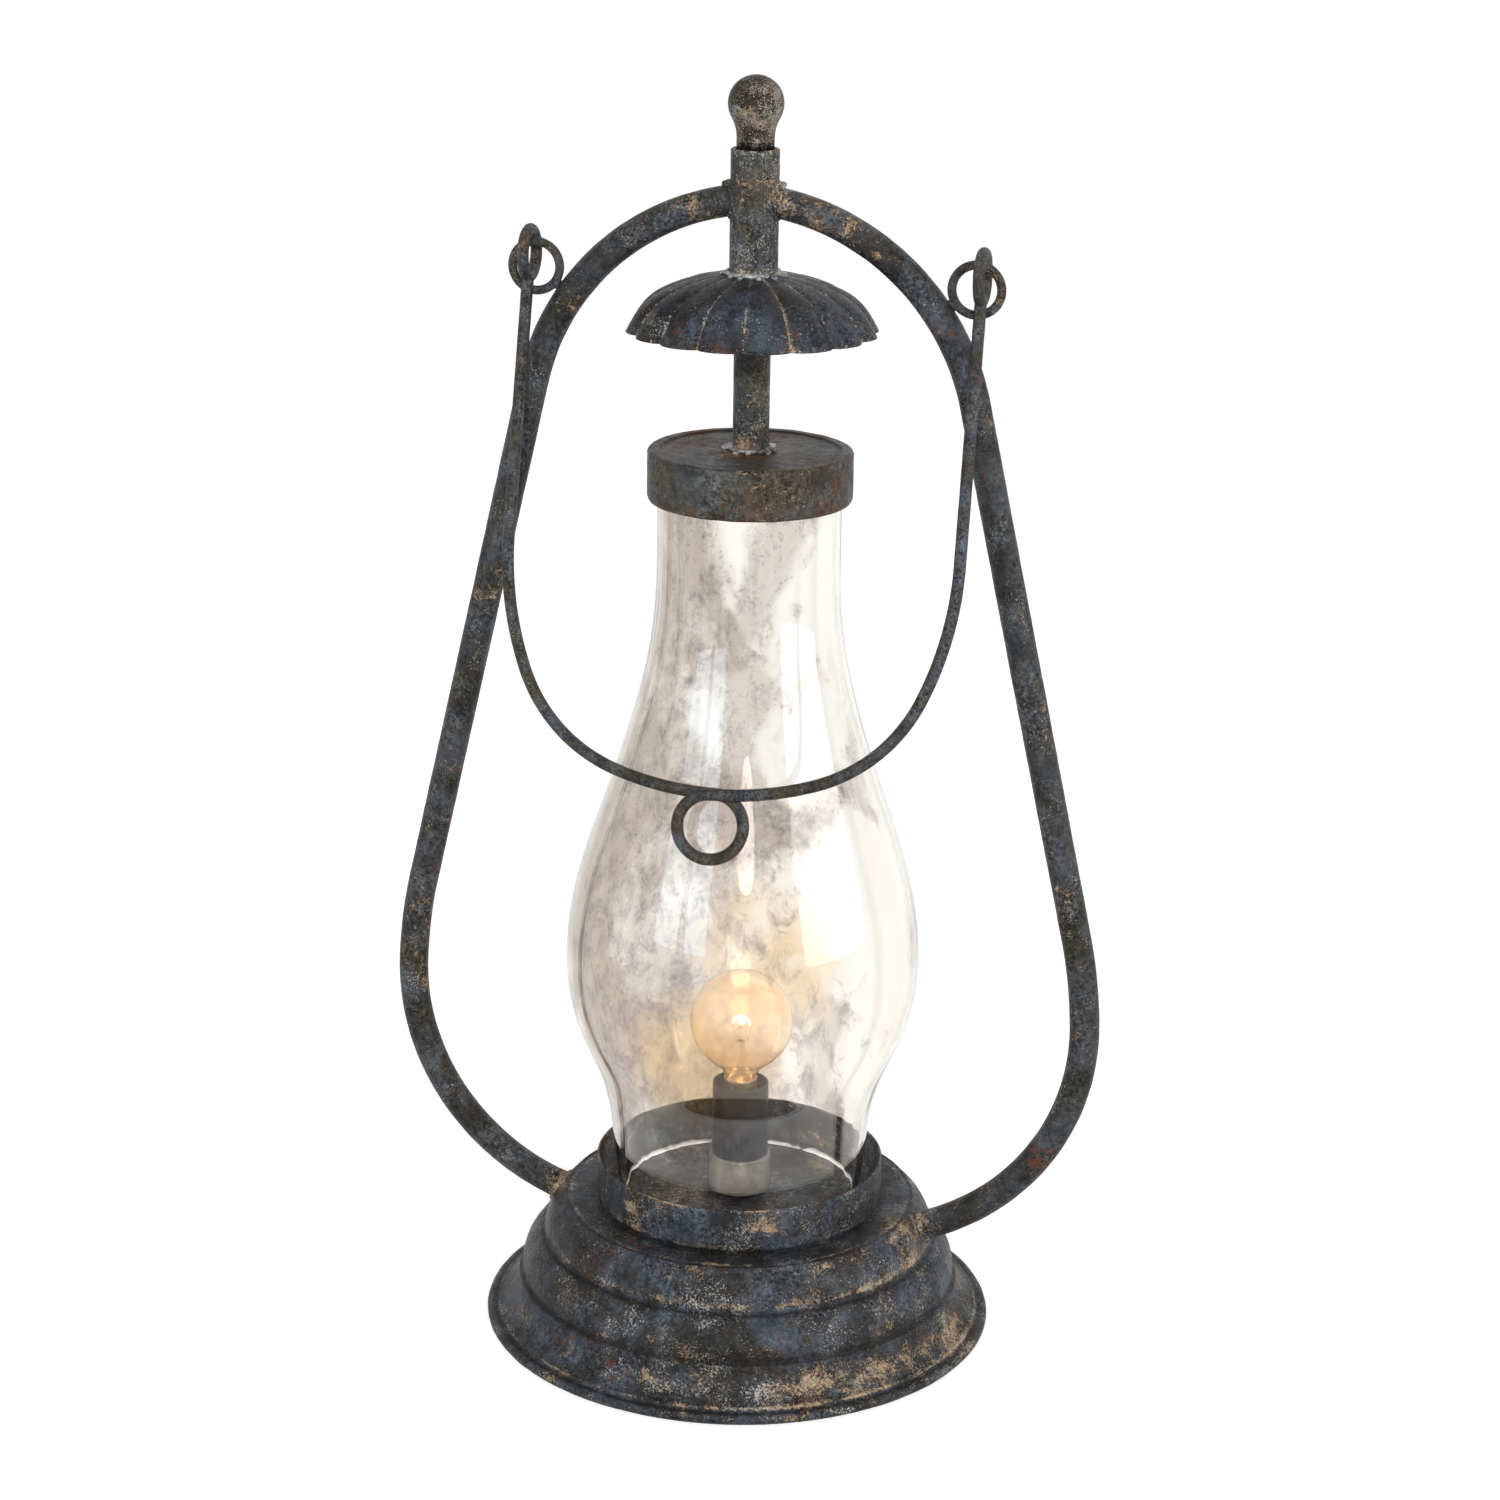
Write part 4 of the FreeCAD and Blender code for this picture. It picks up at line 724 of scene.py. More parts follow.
# ---- cap, rod and ball, which lift together
cap = {
    "segments": 200, "spacing": 1.1,
    "outline": [(0.2, 487.6), (45.8, 487.6), (47.2, 488.4, -0.2), (50.4, 488.4), (53.4, 485.4, 1.243),
                (53.4, 465.0), (52.5, 462.0, 0.3), (51.0, 462.5), (51.6, 465.2, -0.2), (51.6, 485.1),
                (50.1, 486.6, -0.44), (0.2, 486.6)],
    # negative entries darken: painted shade in the crevice round the top's rim, and a darker wide ring on the
    # top
    "worn": [(45.9, 487.7, 1.4, -1.2), (52.6, 487.4, 1.6, 0.45), (53.0, 462.6, 1.4, 0.4),
             (14.0, 487.6, 4.0, 0.6), (34.0, 487.6, 14.0, -0.45)],
    "patches": [((30, -44, 478), 8, 0.35), ((-34, -41, 474), 10, 0.3)],
    "dents": (0.3, 9.0),
}
placed("liftCap", [turned(outlineFrom(cap["outline"], cap["spacing"]), cap["segments"], cap["worn"],
                          patches=cap["patches"])],
       "lift", capSteel, ["chimney_cap"], rough=cap["dents"])

liftRod = {
    "segments": 64, "spacing": 1.6,
    "outline": [(9.5, 487.9), (9.5, 653.9), (8.0, 653.9), (8.0, 487.9)],
    "worn": [(9.5, 490.0, 5.0, 0.7), (9.5, 648.0, 5.0, 0.4)],
    "dents": (0.12, 7.0),
}
placed("liftRodTube", [turned(outlineFrom(liftRod["outline"], liftRod["spacing"]), liftRod["segments"],
                              liftRod["worn"])],
       "lift", upperSteel, ["lift_rod"], rough=liftRod["dents"])

ball = {
    "radius": 14.25, "height": 664.3, "segments": 96, "spacing": 0.9,
    "fillet": [(9.6, 640.4), (9.65, 645.0), (9.8, 649.0), (10.25, 651.8), (11.2, 654.7), (12.6, 657.65)],
    "worn": [(12.8, 656.0, 6.0, 0.85), (9.6, 646.0, 3.0, 0.5), (8.0, 677.0, 6.0, -0.2)],
    "dents": (0.16, 5.0),
}


def ballOutline():
    start = math.asin((657.65 - ball["height"]) / ball["radius"])
    count = 34
    points = smoothThrough(ball["fillet"], ball["spacing"])
    for k in range(1, count + 1):
        turn = start + (math.radians(89.3) - start) * k / count
        points.append(Vector((ball["radius"] * math.cos(turn),
                              ball["height"] + ball["radius"] * math.sin(turn))))
    inside = [(0.12, 660.0), (0.12, 654.4), (9.3, 654.3), (9.52, 650.0)]
    return points + [Vector(place) for place in inside]


placed("ballFinial", [turned(ballOutline(), ball["segments"], ball["worn"])], "lift",
       ballSteel, ["finial_ball"], rough=ball["dents"])


def ring(radius, height, spacing=1.0, centre=(0.0, 0.0)):
    count = round(2 * math.pi * radius / spacing)
    return [Vector((centre[0] + radius * math.cos(2 * math.pi * k / count),
                    centre[1] + radius * math.sin(2 * math.pi * k / count), height)) for k in range(count)]


placed("rodWeld", [weldBead(ring(10.4, 488.8), 1.7, 1, closed=True, wearAndShade=0.1)]
       + weldTongues(10.6, 488.9, 4.6, 0.9, 1.9, 9, 2), "lift", weldSteel)
print("lifting group made")

# ---- guide sleeve and fluted smoke bell
sleeve = {
    "segments": 96, "spacing": 1.4,
    "outline": [(9.85, 578.9), (12.5, 578.9), (12.5, 641.34), (11.84, 642.0, 0.15), (10.38, 642.0),
                (9.85, 641.47, 0.12)],
    "worn": [(12.5, 641.0, 1.6, 0.6), (10.2, 642.0, 0.8, 1.0), (12.5, 625.0, 12.0, 0.4),
             (12.5, 594.0, 11.0, -0.15), (12.5, 580.0, 2.5, 0.7)],
    "dents": (0.16, 6.0),
}
placed("guideSleeve", [turned(outlineFrom(sleeve["outline"], sleeve["spacing"]), sleeve["segments"],
                              sleeve["worn"])],
       "lamp", upperSteel, ["guide_sleeve"], rough=sleeve["dents"])

bell = {
    "flutes": 16, "turn": 9.0, "crest": 65.0, "hole": 9.95, "top": 14.6, "crown": 578.6, "height": 29.1,
    "depth": 2.7, "outerDepth": 3.5, "gauge": 1.5, "perFlute": 24,
    "crease": 0.6, "creaseWide": 1.6,
    "dome": [(0.0, 0.0, 1.0), (0.075, 0.237, 1.0), (0.206, 0.519, 0.92), (0.417, 0.746, 0.72),
             (0.724, 0.924, 0.45), (1.0, 1.0, 0.2)],
}


def flutedRing(crest, valley, height):
    # arcs that meet in sharp valleys, and how worn each point is
    half = math.pi / bell["flutes"]
    rise = crest - valley * math.cos(half)
    reach = valley * math.sin(half)
    radius = (reach * reach + rise * rise) / (2 * rise)
    spread = math.asin(min(1.0, reach / radius))
    points, wearAndShade = [], []
    for flute in range(bell["flutes"]):
        middle = math.radians(bell["turn"]) + (2 * flute + 1) * half
        for k in range(bell["perFlute"]):
            turn = -spread + 2 * spread * k / bell["perFlute"]
            fromValley = min(k, bell["perFlute"] - k) / bell["perFlute"] * 2 * half * crest
            notch = bell["crease"] * math.exp(-(fromValley / bell["creaseWide"]) ** 2)
            out = crest - radius + radius * math.cos(turn) - notch
            side = radius * math.sin(turn)
            points.append(Vector((out * math.cos(middle) - side * math.sin(middle),
                                  out * math.sin(middle) + side * math.cos(middle), height)))
            wearAndShade.append(math.exp(-(fromValley / 1.1) ** 2))
    return points, wearAndShade


def bellPart():
    levels = smoothThrough([Vector(level) for level in bell["dome"]], 0.03)
    outer, inner, outerWear = [], [], []
    reach = bell["crest"] - bell["top"]
    for level, following in zip(levels, levels[1:] + [None]):
        crest = bell["crest"] - level[0] * reach
        height = bell["crown"] - bell["height"] + level[1] * bell["height"]
        valley = crest - level[2] * bell["depth"]
        points, wearAndShade = flutedRing(crest, crest - level[2] * bell["outerDepth"], height)
        lip = 0.5 * math.exp(-((level[1] * bell["height"]) / 1.5) ** 2)
        soot = 0.55 * max(0.0, min(1.0, (level[1] - 0.35) / 0.4))
        outer.append(points)
        worn = [(0.5 * value + 0.5 * patchy(value, point)) * (1.0 + soot)
                for value, point in zip(wearAndShade, points)]
        outerWear.append([min(1.0, value + lip - soot) for value in worn])
        if following:
            slope = Vector(((following[1] - level[1]) * bell["height"], (following[0] - level[0]) * reach))
            slope.normalize()
        inner.append(flutedRing(crest - slope[0] * bell["gauge"], valley - slope[0] * bell["gauge"],
                                max(height - slope[1] * bell["gauge"], outer[0][0].z))[0])
    count = len(outer[0])
    for height, rows in ((bell["crown"], outer), (bell["crown"] - bell["gauge"], inner)):
        last = rows[-1]
        for share in (0.5, 1.0):
            rows.append([Vector((p.x, p.y, 0)).normalized()
                         * (Vector((p.x, p.y, 0)).length * (1 - share) + bell["hole"] * share)
                         + upAxis * height for p in last])
    rows = outer + inner[::-1]
    wearAndShade = outerWear + [[0.5] * count, [0.5] * count] + [[0.0] * count] * len(inner)
    return skin(rows, wearAndShade, closed=True)


placed("flutedSmokeBell", [bellPart()], "lamp", bellSteel, ["smoke_bell"],
       rough=(0.15, 8.0))
placed("sleeveFootWeld", [weldBead(ring(13.4, 579.4), 1.5, 3, closed=True, wearAndShade=0.1)]
       + weldTongues(13.8, 579.2, 4.6, 0.9, 1.5, 11, 5), "lamp", weldSteel)
print("sleeve and bell made")

# ---- frame tubes: arch, straight leg, soft and tight elbow, short run to the base
frameTube = {
    "radius": 8.0, "sides": 40, "spacing": 2.0, "archX": -8.7, "archTop": 617.0, "archBend": 128.0,
    "startX": 14.5, "legLean": 12.8, "softBend": 275.0, "softTurn": 10.45, "tightBend": 128.0,
    "tightTurn": 70.8, "target": (101.06, 61.98), "dents": (0.22, 11.0),
    "sleeveRadius": 12.5, "bandTop": (96.9, 69.3), "bandFoot": (107.3, 51.0), "bandRise": 1.6,
}


def heading(angle):
    return Vector((math.cos(math.radians(angle)), 0, -math.sin(math.radians(angle))))


def bend(start, angle, radius, turn, spacing):
    # points round a bend, from a start with a heading, angles in degrees below level
    def spoke(a):
        return Vector((math.sin(math.radians(a)), 0, math.cos(math.radians(a))))

    count = max(2, round(math.radians(turn) * radius / spacing))
    centre = start - spoke(angle) * radius
    return [centre + spoke(angle + turn * (k + 1) / count) * radius for k in range(count)]


def run(start, end, spacing):
    count = max(2, round((end - start).length / spacing))
    return [start + (end - start) * (k + 1) / count for k in range(count)]


def framePath():
    f = frameTube
    centre = Vector((f["archX"], 0, f["archTop"] - f["archBend"]))
    startAngle = math.degrees(math.asin((f["startX"] - f["archX"]) / f["archBend"]))
    legAngle = 90 - f["legLean"]
    start = centre + Vector((math.sin(math.radians(startAngle)), 0, math.cos(math.radians(startAngle)))) \
        * f["archBend"]
    arch = bend(start, startAngle, f["archBend"], legAngle - startAngle, f["spacing"])
    softAngle = legAngle + f["softTurn"]
    footAngle = softAngle + f["tightTurn"]
    soft = bend(Vector((0, 0, 0)), legAngle, f["softBend"], f["softTurn"], f["spacing"])
    tight = bend(soft[-1], softAngle, f["tightBend"], f["tightTurn"], f["spacing"])
    leg, foot = heading(legAngle), heading(footAngle)
    miss = Vector((f["target"][0], 0, f["target"][1])) - arch[-1] - tight[-1]
    cross = leg.x * foot.z - leg.z * foot.x
    legLength = (miss.x * foot.z - miss.z * foot.x) / cross
    footLength = (leg.x * miss.z - leg.z * miss.x) / cross
    legEnd = arch[-1] + leg * legLength
    path = [start] + arch + run(arch[-1], legEnd, f["spacing"])
    path += [legEnd + p for p in soft + tight]
    path += run(path[-1], path[-1] + foot * (footLength - 5.0), f["spacing"])
    return path, heading(startAngle), foot


def bandOutside(height):
    # outside radius of the base's upper band
    top, foot = frameTube["bandTop"], frameTube["bandFoot"]
    part = (top[1] - height) / (top[1] - foot[1])
    if part < 0:
        return top[0] - 1.7 * min(1.0, -part * 10)
    return top[0] + part * (foot[0] - top[0]) + 4 * frameTube["bandRise"] * part * (1 - part)


def landOn(point, way, outside, reach):
    # where a line through a point meets a round surface
    low, high = -1.0, reach
    for step in range(40):
        middle = (low + high) / 2
        place = point + way * middle
        if math.hypot(place.x, place.y) > outside(place.z):
            low = middle
        else:
            high = middle
    return point + way * high


def frameTubePart():
    path, startWay, footWay = framePath()
    total = len(path)

    def wearAndShade(k):
        fromStart, fromFoot = k * frameTube["spacing"], (total - 1 - k) * frameTube["spacing"]
        return 0.4 * math.exp(-(fromStart / 26) ** 2) + 0.6 * math.exp(-(fromFoot / 14) ** 2) \
            + 0.25 * max(0.0, noise.noise(path[k] / 28.0))

    points, faces, worn = swept(path, frameTube["radius"], frameTube["sides"], wearAndShade=wearAndShade, capped=False,
                                firstSide=Vector((0, 1, 0)))
    sides = frameTube["sides"]
    first, last = points[:sides], points[-sides:]
    startRing = [landOn(p, -startWay, lambda z: frameTube["sleeveRadius"] - 0.4, 12.0) for p in first]
    footRing = [landOn(p, footWay, lambda z: bandOutside(z) - 0.4, 16.0) for p in last]
    rows = [startRing] + [points[k * sides:(k + 1) * sides] for k in range(total)] + [footRing]
    levels = [worn[0]] + [worn[k * sides] for k in range(total)] + [worn[-1]]
    return skin(rows, levels, capped=True), startRing, footRing


def mirrored(part, flip=True):
    # the same piece on the other side of the lamp, turned half a round
    if not flip:
        return part
    points, faces, wearAndShade = part
    return [Vector((-p.x, -p.y, p.z)) for p in points], faces, wearAndShade


tubePart, archMeets, footMeets = frameTubePart()
for side, flip in (("right", False), ("left", True)):
    placed("frameTube_" + side, [mirrored(tubePart, flip)], "lamp", blackenedSteel,
           ["frame_tube_" + side], rough=frameTube["dents"])
    sign = -1 if flip else 1
    seed = 7 if flip else 4
    archRing = [Vector((p.x * sign, p.y * sign, p.z)) for p in archMeets]
    footRing = [Vector((p.x * sign, p.y * sign, p.z)) for p in footMeets]
    top = max(archRing, key=lambda p: p.z)
    lump = [top + Vector((sign * (1.5 * k - 0.5), 0.8 * math.sin(2 * k), 1.1 - 0.5 * k)) for k in range(4)]
    placed("archWeld_" + side, [weldBead(archRing, 1.7, seed, closed=True, wearAndShade=0.3),
                                weldBead(lump, 2.4, seed + 2, wearAndShade=0.45)],
           "lamp", upperSteel)
    placed("footWeld_" + side, [weldBead(footRing, 2.2, seed + 1, closed=True, wearAndShade=0.45)],
           "lamp", upperSteel)
print("frame made")

# ---- rings on the shoulders and the bail that hangs in them
bail = {
    "ringPlace": (114.63, 576.65), "ringRadius": 12.6, "ringWire": 2.4, "wire": 3.2, "eyeRadius": 12.1,
    "eyeWire": 3.1, "eyeX": 117.63, "eyeDepth": 5.7, "straight": 150.0,
    "bends": [(175.0, 23.0), (85.0, 48.0)],  # radius and degrees
    "loop": 16.7, "loopLift": 3.456, "hinge": 588.88, "lean": 15.61, "spacing": 1.8, "dents": (0.12, 7.0),
}


def loopRing(centre, axis, radius, wire, wearAndShade=0.0):
    # a round wire ring about a point
    first = axis.orthogonal().normalized()
    second = axis.cross(first)
    count = 72
    path = [centre + (first * math.cos(2 * math.pi * k / count)
                      + second * math.sin(2 * math.pi * k / count)) * radius for k in range(count)]
    return swept(path, wire, 20, wearAndShade=wearAndShade, closed=True)


for side, sign in (("right", 1), ("left", -1)):
    centre = Vector((sign * bail["ringPlace"][0], 0, bail["ringPlace"][1]))
    archCentre = Vector((sign * frameTube["archX"], 0, frameTube["archTop"] - frameTube["archBend"]))
    inward = (archCentre - centre).normalized()
    touch = centre + inward * (bail["ringRadius"] + 1.0)
    across = Vector((inward.z, 0, -inward.x))
    weldEnds = [touch + across * (2.2 * k) + Vector((0, 0.6 * math.sin(k * 2.0), 0)) for k in (-1.5, 1.5)]
    placed("shoulderRing_" + side,
           [loopRing(centre, Vector((0, 1, 0)), bail["ringRadius"], bail["ringWire"], 0.25),
            weldBead(run(*weldEnds, 1.0), 2.3, 11 + sign, wearAndShade=0.6)],
           "lamp", wireSteel, ["bail_ring_" + side], rough=bail["dents"])


def biarc(start, startWay, end, endWay, spacing):
    # two arcs that leave one point and reach the next along the given directions
    reach = end - start
    spread = 2 * (1 - startWay.dot(endWay))
    across = reach.dot(startWay + endWay)
    arm = (math.sqrt(across ** 2 + spread * reach.dot(reach)) - across) / spread
    corners = [start + startWay * arm, end - endWay * arm]
    join = (corners[0] + corners[1]) / 2
    points = []
    for low, corner, high in ((start, corners[0], join), (join, corners[1], end)):
        lowWay, highWay = (corner - low).normalized(), (high - corner).normalized()
        turn = lowWay.angle(highWay)
        radius = (corner - low).length / math.tan(turn / 2)
        inwards = (highWay - lowWay * lowWay.dot(highWay)).normalized()
        count = max(2, round(turn * radius / spacing))
        for k in range(count):
            angle = turn * (k + 1) / count
            points.append(low + lowWay * radius * math.sin(angle) + inwards * radius * (1 - math.cos(angle)))
    return points


def bailPath():
    b = bail
    x, depth, angle = b["eyeX"], b["straight"], 0.0
    half = [(Vector((x, 0, -depth)), Vector((0, 0, -1)))]
    for radius, turn in b["bends"]:
        stop = angle + math.radians(turn)
        x -= radius * (math.cos(angle) - math.cos(stop))
        depth += radius * (math.sin(stop) - math.sin(angle))
        angle = stop
        half.append((Vector((x, 0, -depth)), Vector((-math.sin(angle), 0, -math.cos(angle)))))
    middle = depth + x / math.cos(angle) * (1 - math.sin(angle))
    stations = list(half)
    for quarter in range(5):
        turn = 0.5 * math.pi * quarter
        point = Vector((-b["loop"] * math.sin(turn), -b["loopLift"] * math.cos(turn / 2),
                        -middle - b["loop"] * (1 - math.cos(turn))))
        way = Vector((-b["loop"] * math.cos(turn), 0.5 * b["loopLift"] * math.sin(turn / 2),
                      -b["loop"] * math.sin(turn)))
        stations.append((point, way.normalized()))
    stations += [(Vector((-p.x, 0, p.z)), Vector((w.x, 0, -w.z))) for p, w in half[::-1]]
    eyeBottom = b["eyeDepth"] + b["eyeRadius"]
    top = Vector((b["eyeX"], 0, -eyeBottom))
    path = [top] + run(top, stations[0][0], b["spacing"])
    for station, following in zip(stations, stations[1:]):
        path += biarc(*station, *following, b["spacing"])
    return path + run(path[-1], Vector((-b["eyeX"], 0, -eyeBottom)), b["spacing"])


def leaned(part):
    # the bail leans on the glass, turned about the hinge
    points, faces, wearAndShade = part
    lean = math.radians(bail["lean"])
    leaning = [Vector((p.x, p.y * math.cos(lean) + p.z * math.sin(lean),
                       p.z * math.cos(lean) - p.y * math.sin(lean) + bail["hinge"])) for p in points]
    return leaning, faces, wearAndShade


def bailParts():
    path = bailPath()
    last = len(path) - 1
    parts = [swept(path, bail["wire"], 22, wearAndShade=lambda k: 0.45 * math.exp(-(min(k, last - k) / 9.0) ** 2))]
    for sign in (1, -1):
        eye = Vector((sign * bail["eyeX"], 0, -bail["eyeDepth"]))
        parts.append(loopRing(eye, Vector((1, 0, 0)), bail["eyeRadius"], bail["eyeWire"], 0.2))
        joint = eye - upAxis * bail["eyeRadius"]
        lump = [joint + Vector((0, -3.6 + 1.2 * k, -1.0 + 0.12 * (k - 3) ** 2)) for k in range(7)]
        parts.append(weldBead(lump, 2.9, 20 + sign, wearAndShade=0.7))
    return [leaned(part) for part in parts]


placed("bailWireHandle", bailParts(), "bail", wireSteel, ["bail_handle"], rough=bail["dents"])
print("rings and bail made")

# ---- bulb: globe, threaded cap and filament
bulb = {
    "globeRadius": 28.0, "globeZ": 172.0, "wall": 0.8, "neck": 8.6, "cutAngle": 58.0, "neckBottom": 133.5,
    "shellTop": 139.6, "segments": 128, "pitch": 2.82, "threadDeep": 0.75,
}


def globeOutline():
    b = bulb
    start, stop, steps = math.radians(89.6), math.radians(-b["cutAngle"]), 59

    def arc(radius, first, last):
        turns = [first + (last - first) * k / steps for k in range(steps + 1)]
        return [Vector((radius * math.cos(turn), b["globeZ"] + radius * math.sin(turn))) for turn in turns]

    outer = arc(b["globeRadius"], start, stop)
    outer += bowPoints(outer[-1], Vector((b["neck"], b["shellTop"] + 0.3)), -1.0, 0.8)
    outer += bowPoints(outer[-1], Vector((b["neck"], b["neckBottom"])), 0.0, 1.0)
    inner = arc(b["globeRadius"] - b["wall"], stop, start)
    neckIn = Vector((b["neck"] - b["wall"], b["neckBottom"]))
    up = bowPoints(neckIn, Vector((neckIn.x, b["shellTop"] + 0.5)), 0.0, 1.0)
    up = [neckIn] + up + bowPoints(up[-1], inner[0], 1.0, 0.8)[:-1]
    return outer + up + inner


placed("bulbGlobe", [turned(globeOutline(), bulb["segments"], closed=False)], "bulb",
       amberGlass, ["bulb_globe"])


def threadedShell():
    # a rolled screw thread under a plain skirt
    outline = outlineFrom([(7.3, 117.6), (8.4, 118.6), (8.4, 129.4), (9.3, 130.6), (9.3, 139.6), (8.9, 139.6),
                           (8.9, 130.8), (7.5, 129.4), (7.3, 118.6), (6.9, 117.6)], 0.35)

    def thread(radius, height, turn, index):
        if not 118.4 < height < 129.6:
            return 0.0, 0.0
        fade = min(1.0, (height - 118.4) / 1.2, (129.6 - height) / 1.2)
        wave = math.sin(2 * math.pi * height / bulb["pitch"] - turn)
        return bulb["threadDeep"] * fade * (0.5 * wave - 0.5) * (1.0 if radius > 8 else 0.5), 0.0

    return turned(outline, 72, uneven=thread)


placed("bulbScrewShell", [threadedShell()], "bulb", brightMetal, ["bulb_shell"])


def filamentCoil():
    # a fine coil bowed between the two lead wires
    path = []
    ends, rise, reach = 169.85, 4.7, 4.6
    turns, count = 26, 26 * 14
    radius = (reach * reach + rise * rise) / (2 * rise)
    spread = math.asin(reach / radius) if rise < reach else math.pi - math.asin(reach / radius)
    for k in range(count + 1):
        turn = -spread + 2 * spread * k / count
        outwards = Vector((math.sin(turn), 0, math.cos(turn)))
        centre = Vector((0, 0, ends + rise - radius)) + outwards * radius
        phase = 2 * math.pi * turns * k / count
        path.append(centre + (outwards * math.cos(phase) + Vector((0, 1, 0)) * math.sin(phase)) * 0.42)
    return swept(path, 0.12, 8)


placed("bulbFilamentCoil", [filamentCoil()], "bulb", hotFilament, ["bulb_filament"])
print("bulb made")

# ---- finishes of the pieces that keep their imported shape
finishes = {
    "base_pad": feltPad, "cord_bushing": bushingPlastic, "lamp_nipple": zincSteel, "nipple_nut": zincSteel,
    "nut_washer": zincSteel, "holder_spacer": darkInsulator, "holder_foot_ring": paleHolderFoot,
    "holder_cover": darkInsulator, "holder_body": whiteCeramic, "holder_shell": brassMetal,
    "holder_contact": brassMetal, "bulb_tip": brassMetal, "bulb_insulator": blackGlass,
    "bulb_stem": innerGlass, "bulb_leads": brightMetal,
}
for nodeName, material in finishes.items():
    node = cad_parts[nodeName]
    node.data.materials.clear()
    node.data.materials.append(material)

# ---- floor, world, lamps and camera
studio = {
    "floorHalf": 40.0, "floorColor": (0.88, 0.88, 0.88, 1), "floorBounce": (0.5, 0.5, 0.5, 1),
    "floorLift": 0.62, "worldFront": 0.27, "worldTop": 0.13,
    "sunFrom": (0.55, -2.1, 0.9), "sunPower": 2.5, "sunSpread": 0.26,
    "windows": [("outer", (-1.60, -2.05, 1.05), (0.8, 1.7), (0.70, 0.85, 1.0)),
                ("inner", (-0.80, -2.48, 1.05), (0.7, 1.7), (0.62, 0.80, 1.0)),
                ("right", (2.35, -0.6, 0.85), (2.2, 1.7), (1.0, 1.0, 1.0))], "windowGlow": 5.5,
    "fill": (1.9, -1.6, 1.2), "fillPower": 1.5, "back": (0.6, 1.8, 1.9), "backPower": 6.0,
    "bulbPower": 0.15, "bulbGlowSize": 0.014,
}


def floorMaterial():
    # pale paper; what the camera sees of it is lifted to white outside the shadow
    material, tree, shader = startMaterial("paleFloor")
    shader.inputs["Roughness"].default_value = 0.9
    shader.inputs["Specular IOR Level"].default_value = 0.0
    path = tree.nodes.new("ShaderNodeLightPath")
    seen = sums(tree, "MAXIMUM", path.outputs["Is Camera Ray"], path.outputs["Is Glossy Ray"])
    seen = sums(tree, "MAXIMUM", seen, path.outputs["Is Transmission Ray"])
    color = blended(tree, seen, studio["floorBounce"], studio["floorColor"])
    tree.links.new(color, shader.inputs["Base Color"])
    lift = addNode(tree, "ShaderNodeEmission", {"Color": (1, 1, 1, 1),
                                                "Strength": times(tree, seen, studio["floorLift"])})
    added = tree.nodes.new("ShaderNodeAddShader")
    tree.links.new(shader.outputs[0], added.inputs[0])
    tree.links.new(lift.outputs[0], added.inputs[1])
    tree.links.new(added.outputs[0], tree.nodes["Material Output"].inputs["Surface"])
    return material


half = studio["floorHalf"]
floorMesh = bpy.data.meshes.new("floor")
corners = [(-half, -half, 0), (half, -half, 0), (half, half, 0), (-half, half, 0)]
floorMesh.from_pydata(corners, [], [(0, 1, 2, 3)])
floorMesh.materials.append(floorMaterial())
floor = bpy.data.objects.new("floor", floorMesh)
bpy.context.scene.collection.objects.link(floor)

world = bpy.data.worlds.new("studioWorld")
bpy.context.scene.world = world
world.use_nodes = True
sky = world.node_tree
direction = addNode(sky, "ShaderNodeTexCoord").outputs["Generated"]
frontSide = addNode(sky, "ShaderNodeVectorMath", {0: direction, 1: (-0.05, -0.96, 0.26)},
                    operation="DOT_PRODUCT").outputs["Value"]
skyColor = blended(sky, between(sky, frontSide, -0.2, 0.9), (0.97, 0.96, 0.94, 1), (0.88, 0.94, 1.0, 1))
skyPower = between(sky, frontSide, -0.2, 0.9, studio["worldTop"], studio["worldFront"])
litSky = addNode(sky, "ShaderNodeBackground", {"Color": skyColor, "Strength": skyPower})
whiteSky = addNode(sky, "ShaderNodeBackground", {"Color": (1, 1, 1, 1), "Strength": 1.0})
skyPath = sky.nodes.new("ShaderNodeLightPath")
skySeen = sums(sky, "MAXIMUM", skyPath.outputs["Is Camera Ray"], skyPath.outputs["Is Transmission Ray"])
skySeen = sums(sky, "MAXIMUM", skySeen, skyPath.outputs["Is Glossy Ray"])
skyMix = sky.nodes.new("ShaderNodeMixShader")
sky.links.new(skySeen, skyMix.inputs[0])
sky.links.new(litSky.outputs[0], skyMix.inputs[1])
sky.links.new(whiteSky.outputs[0], skyMix.inputs[2])
sky.links.new(skyMix.outputs[0], [n for n in sky.nodes if n.type == "OUTPUT_WORLD"][0].inputs[0])


def softbox(name, place, power, size, color):
    lamp = bpy.data.lights.new(name, "AREA")
    lamp.shape, lamp.energy, lamp.color = "RECTANGLE", power, color
    lamp.size, lamp.size_y = size
    holder = bpy.data.objects.new(name, lamp)
    holder.location = place
    holder.rotation_euler = (Vector((0, 0, 0.33)) - Vector(place)).to_track_quat("-Z", "Y").to_euler()
    bpy.context.scene.collection.objects.link(holder)
    return holder


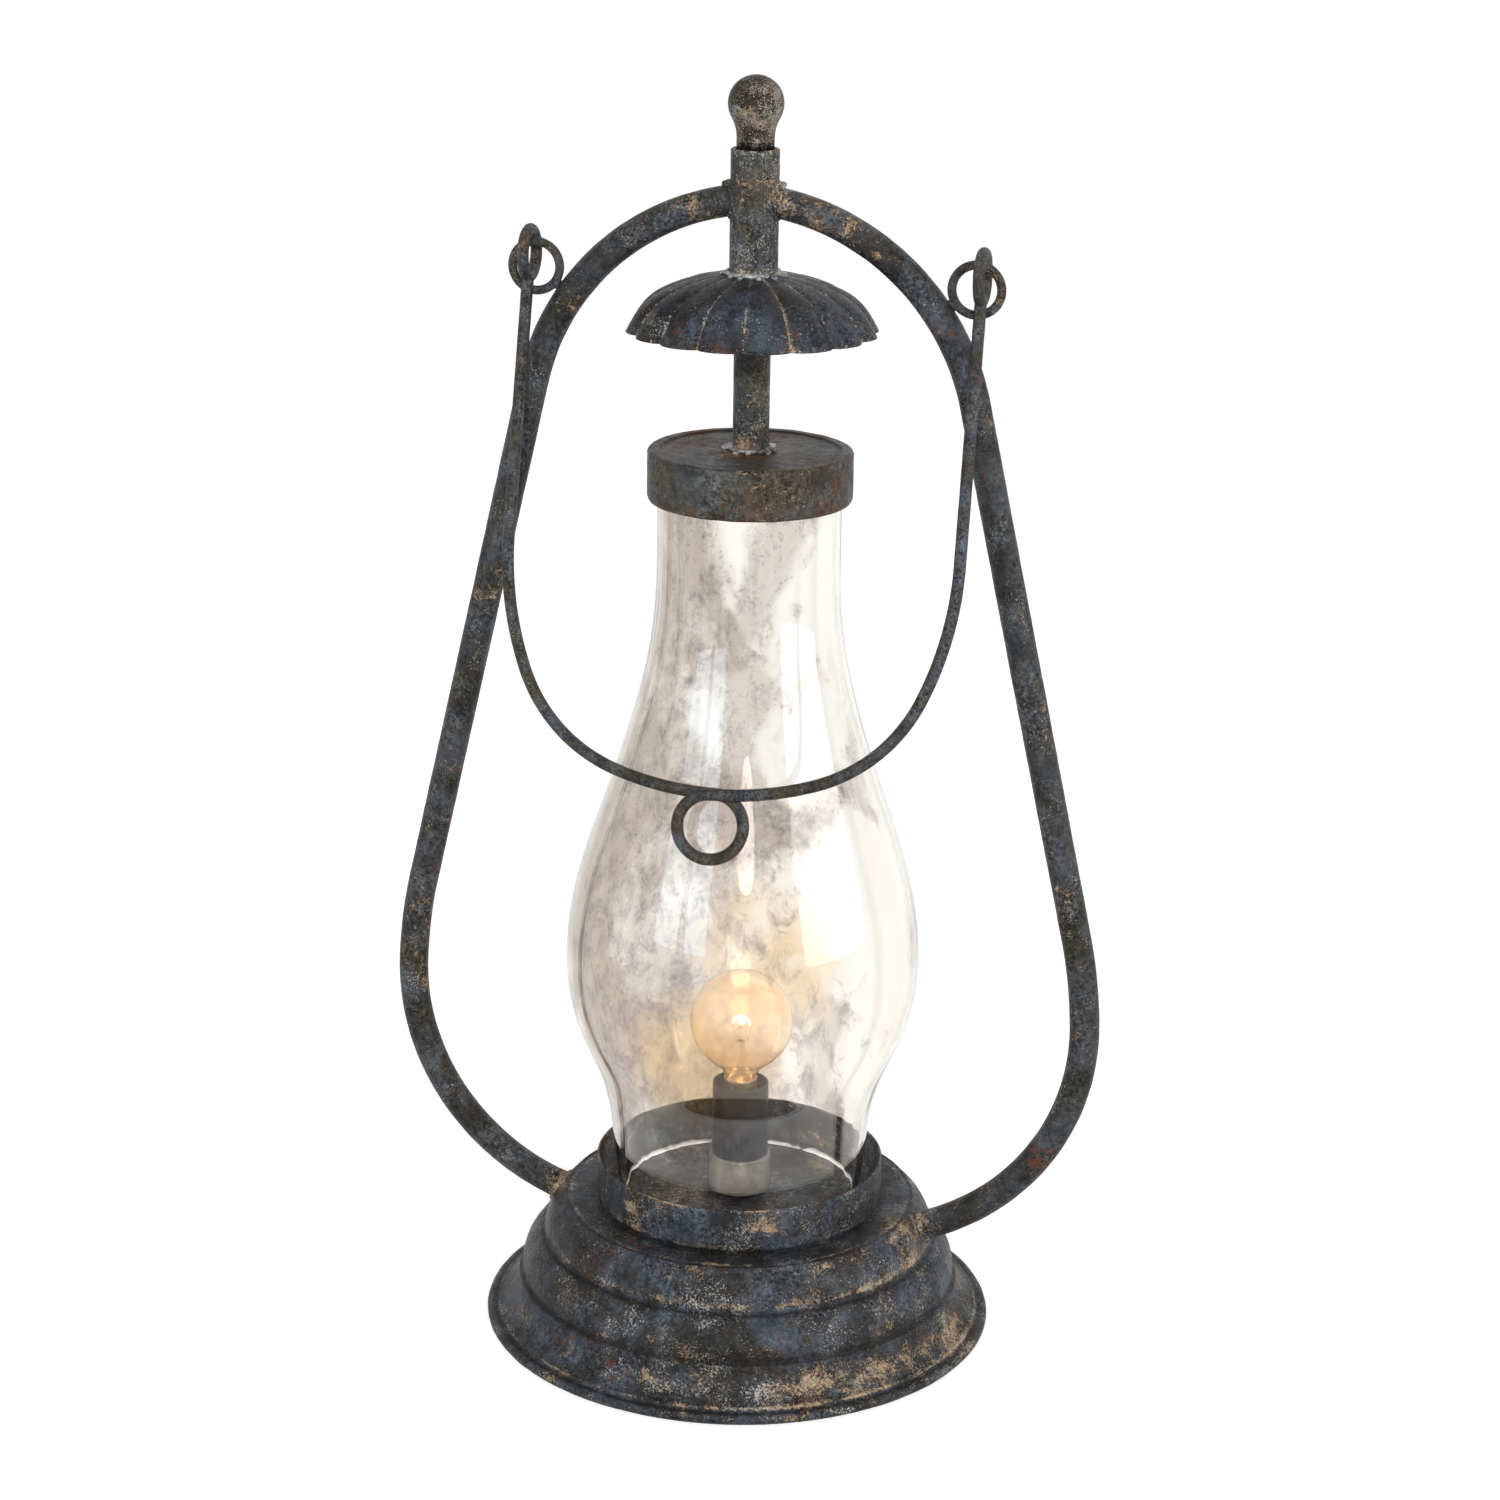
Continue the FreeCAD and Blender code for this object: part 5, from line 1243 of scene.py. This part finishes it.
sun = bpy.data.lights.new("frontLight", "SUN")
sun.energy, sun.angle, sun.color = studio["sunPower"], studio["sunSpread"], (1.0, 0.99, 0.97)
sunHolder = bpy.data.objects.new("frontLight", sun)
sunHolder.visible_glossy = False
sunHolder.rotation_euler = (-Vector(studio["sunFrom"])).to_track_quat("-Z", "Y").to_euler()
bpy.context.scene.collection.objects.link(sunHolder)
for side, place, size, color in studio["windows"]:
    # windows are only mirrored in glass and steel, the other lamps do the lighting
    window = softbox("window_" + side, place, studio["windowGlow"] * math.pi * size[0] * size[1], size, color)
    window.visible_camera, window.visible_diffuse, window.visible_transmission = False, False, False
softbox("fillSoftbox", studio["fill"], studio["fillPower"], (1.2, 1.2), (1.0, 0.97, 0.92))
softbox("backSoftbox", studio["back"], studio["backPower"], (1.2, 1.2), (1.0, 1.0, 1.0))
glowLamp = bpy.data.lights.new("bulbGlow", "POINT")
glowLamp.energy, glowLamp.color = studio["bulbPower"], (1.0, 0.66, 0.34)
glowLamp.shadow_soft_size = studio["bulbGlowSize"]
glowHolder = bpy.data.objects.new("bulbGlow", glowLamp)
glowHolder.location = (0, 0, 0.172)
glowHolder.visible_camera, glowHolder.visible_glossy, glowHolder.visible_transmission = False, False, False
bpy.context.scene.collection.objects.link(glowHolder)

view = {"lens": 82.42, "azimuth": 12.97, "pitch": 17.60, "distance": 1815.0, "aim": (2.21, 0.0, 325.84),
        "roll": 0.93}
azimuth, pitch, roll = (math.radians(view[key]) for key in ("azimuth", "pitch", "roll"))
outward = Vector((math.sin(azimuth) * math.cos(pitch), -math.cos(azimuth) * math.cos(pitch), math.sin(pitch)))
rightWay = (-outward).cross(upAxis).normalized()
upWay = rightWay.cross(-outward)
rolledRight = rightWay * math.cos(roll) + upWay * math.sin(roll)
rolledUp = rolledRight.cross(-outward)
cameraData = bpy.data.cameras.new("photoCamera")
cameraData.lens, cameraData.sensor_width, cameraData.sensor_fit = view["lens"], 36.0, "HORIZONTAL"
cameraData.clip_end = 200.0
camera = bpy.data.objects.new("photoCamera", cameraData)
place = (Vector(view["aim"]) + outward * view["distance"]) * unit
turnTable = [[rolledRight[i], rolledUp[i], outward[i], place[i]] for i in range(3)] + [[0, 0, 0, 1]]
camera.matrix_world = Matrix(turnTable)
bpy.context.scene.collection.objects.link(camera)
bpy.context.scene.camera = camera
bpy.context.scene.view_settings.view_transform = "Standard"
print("studio made")
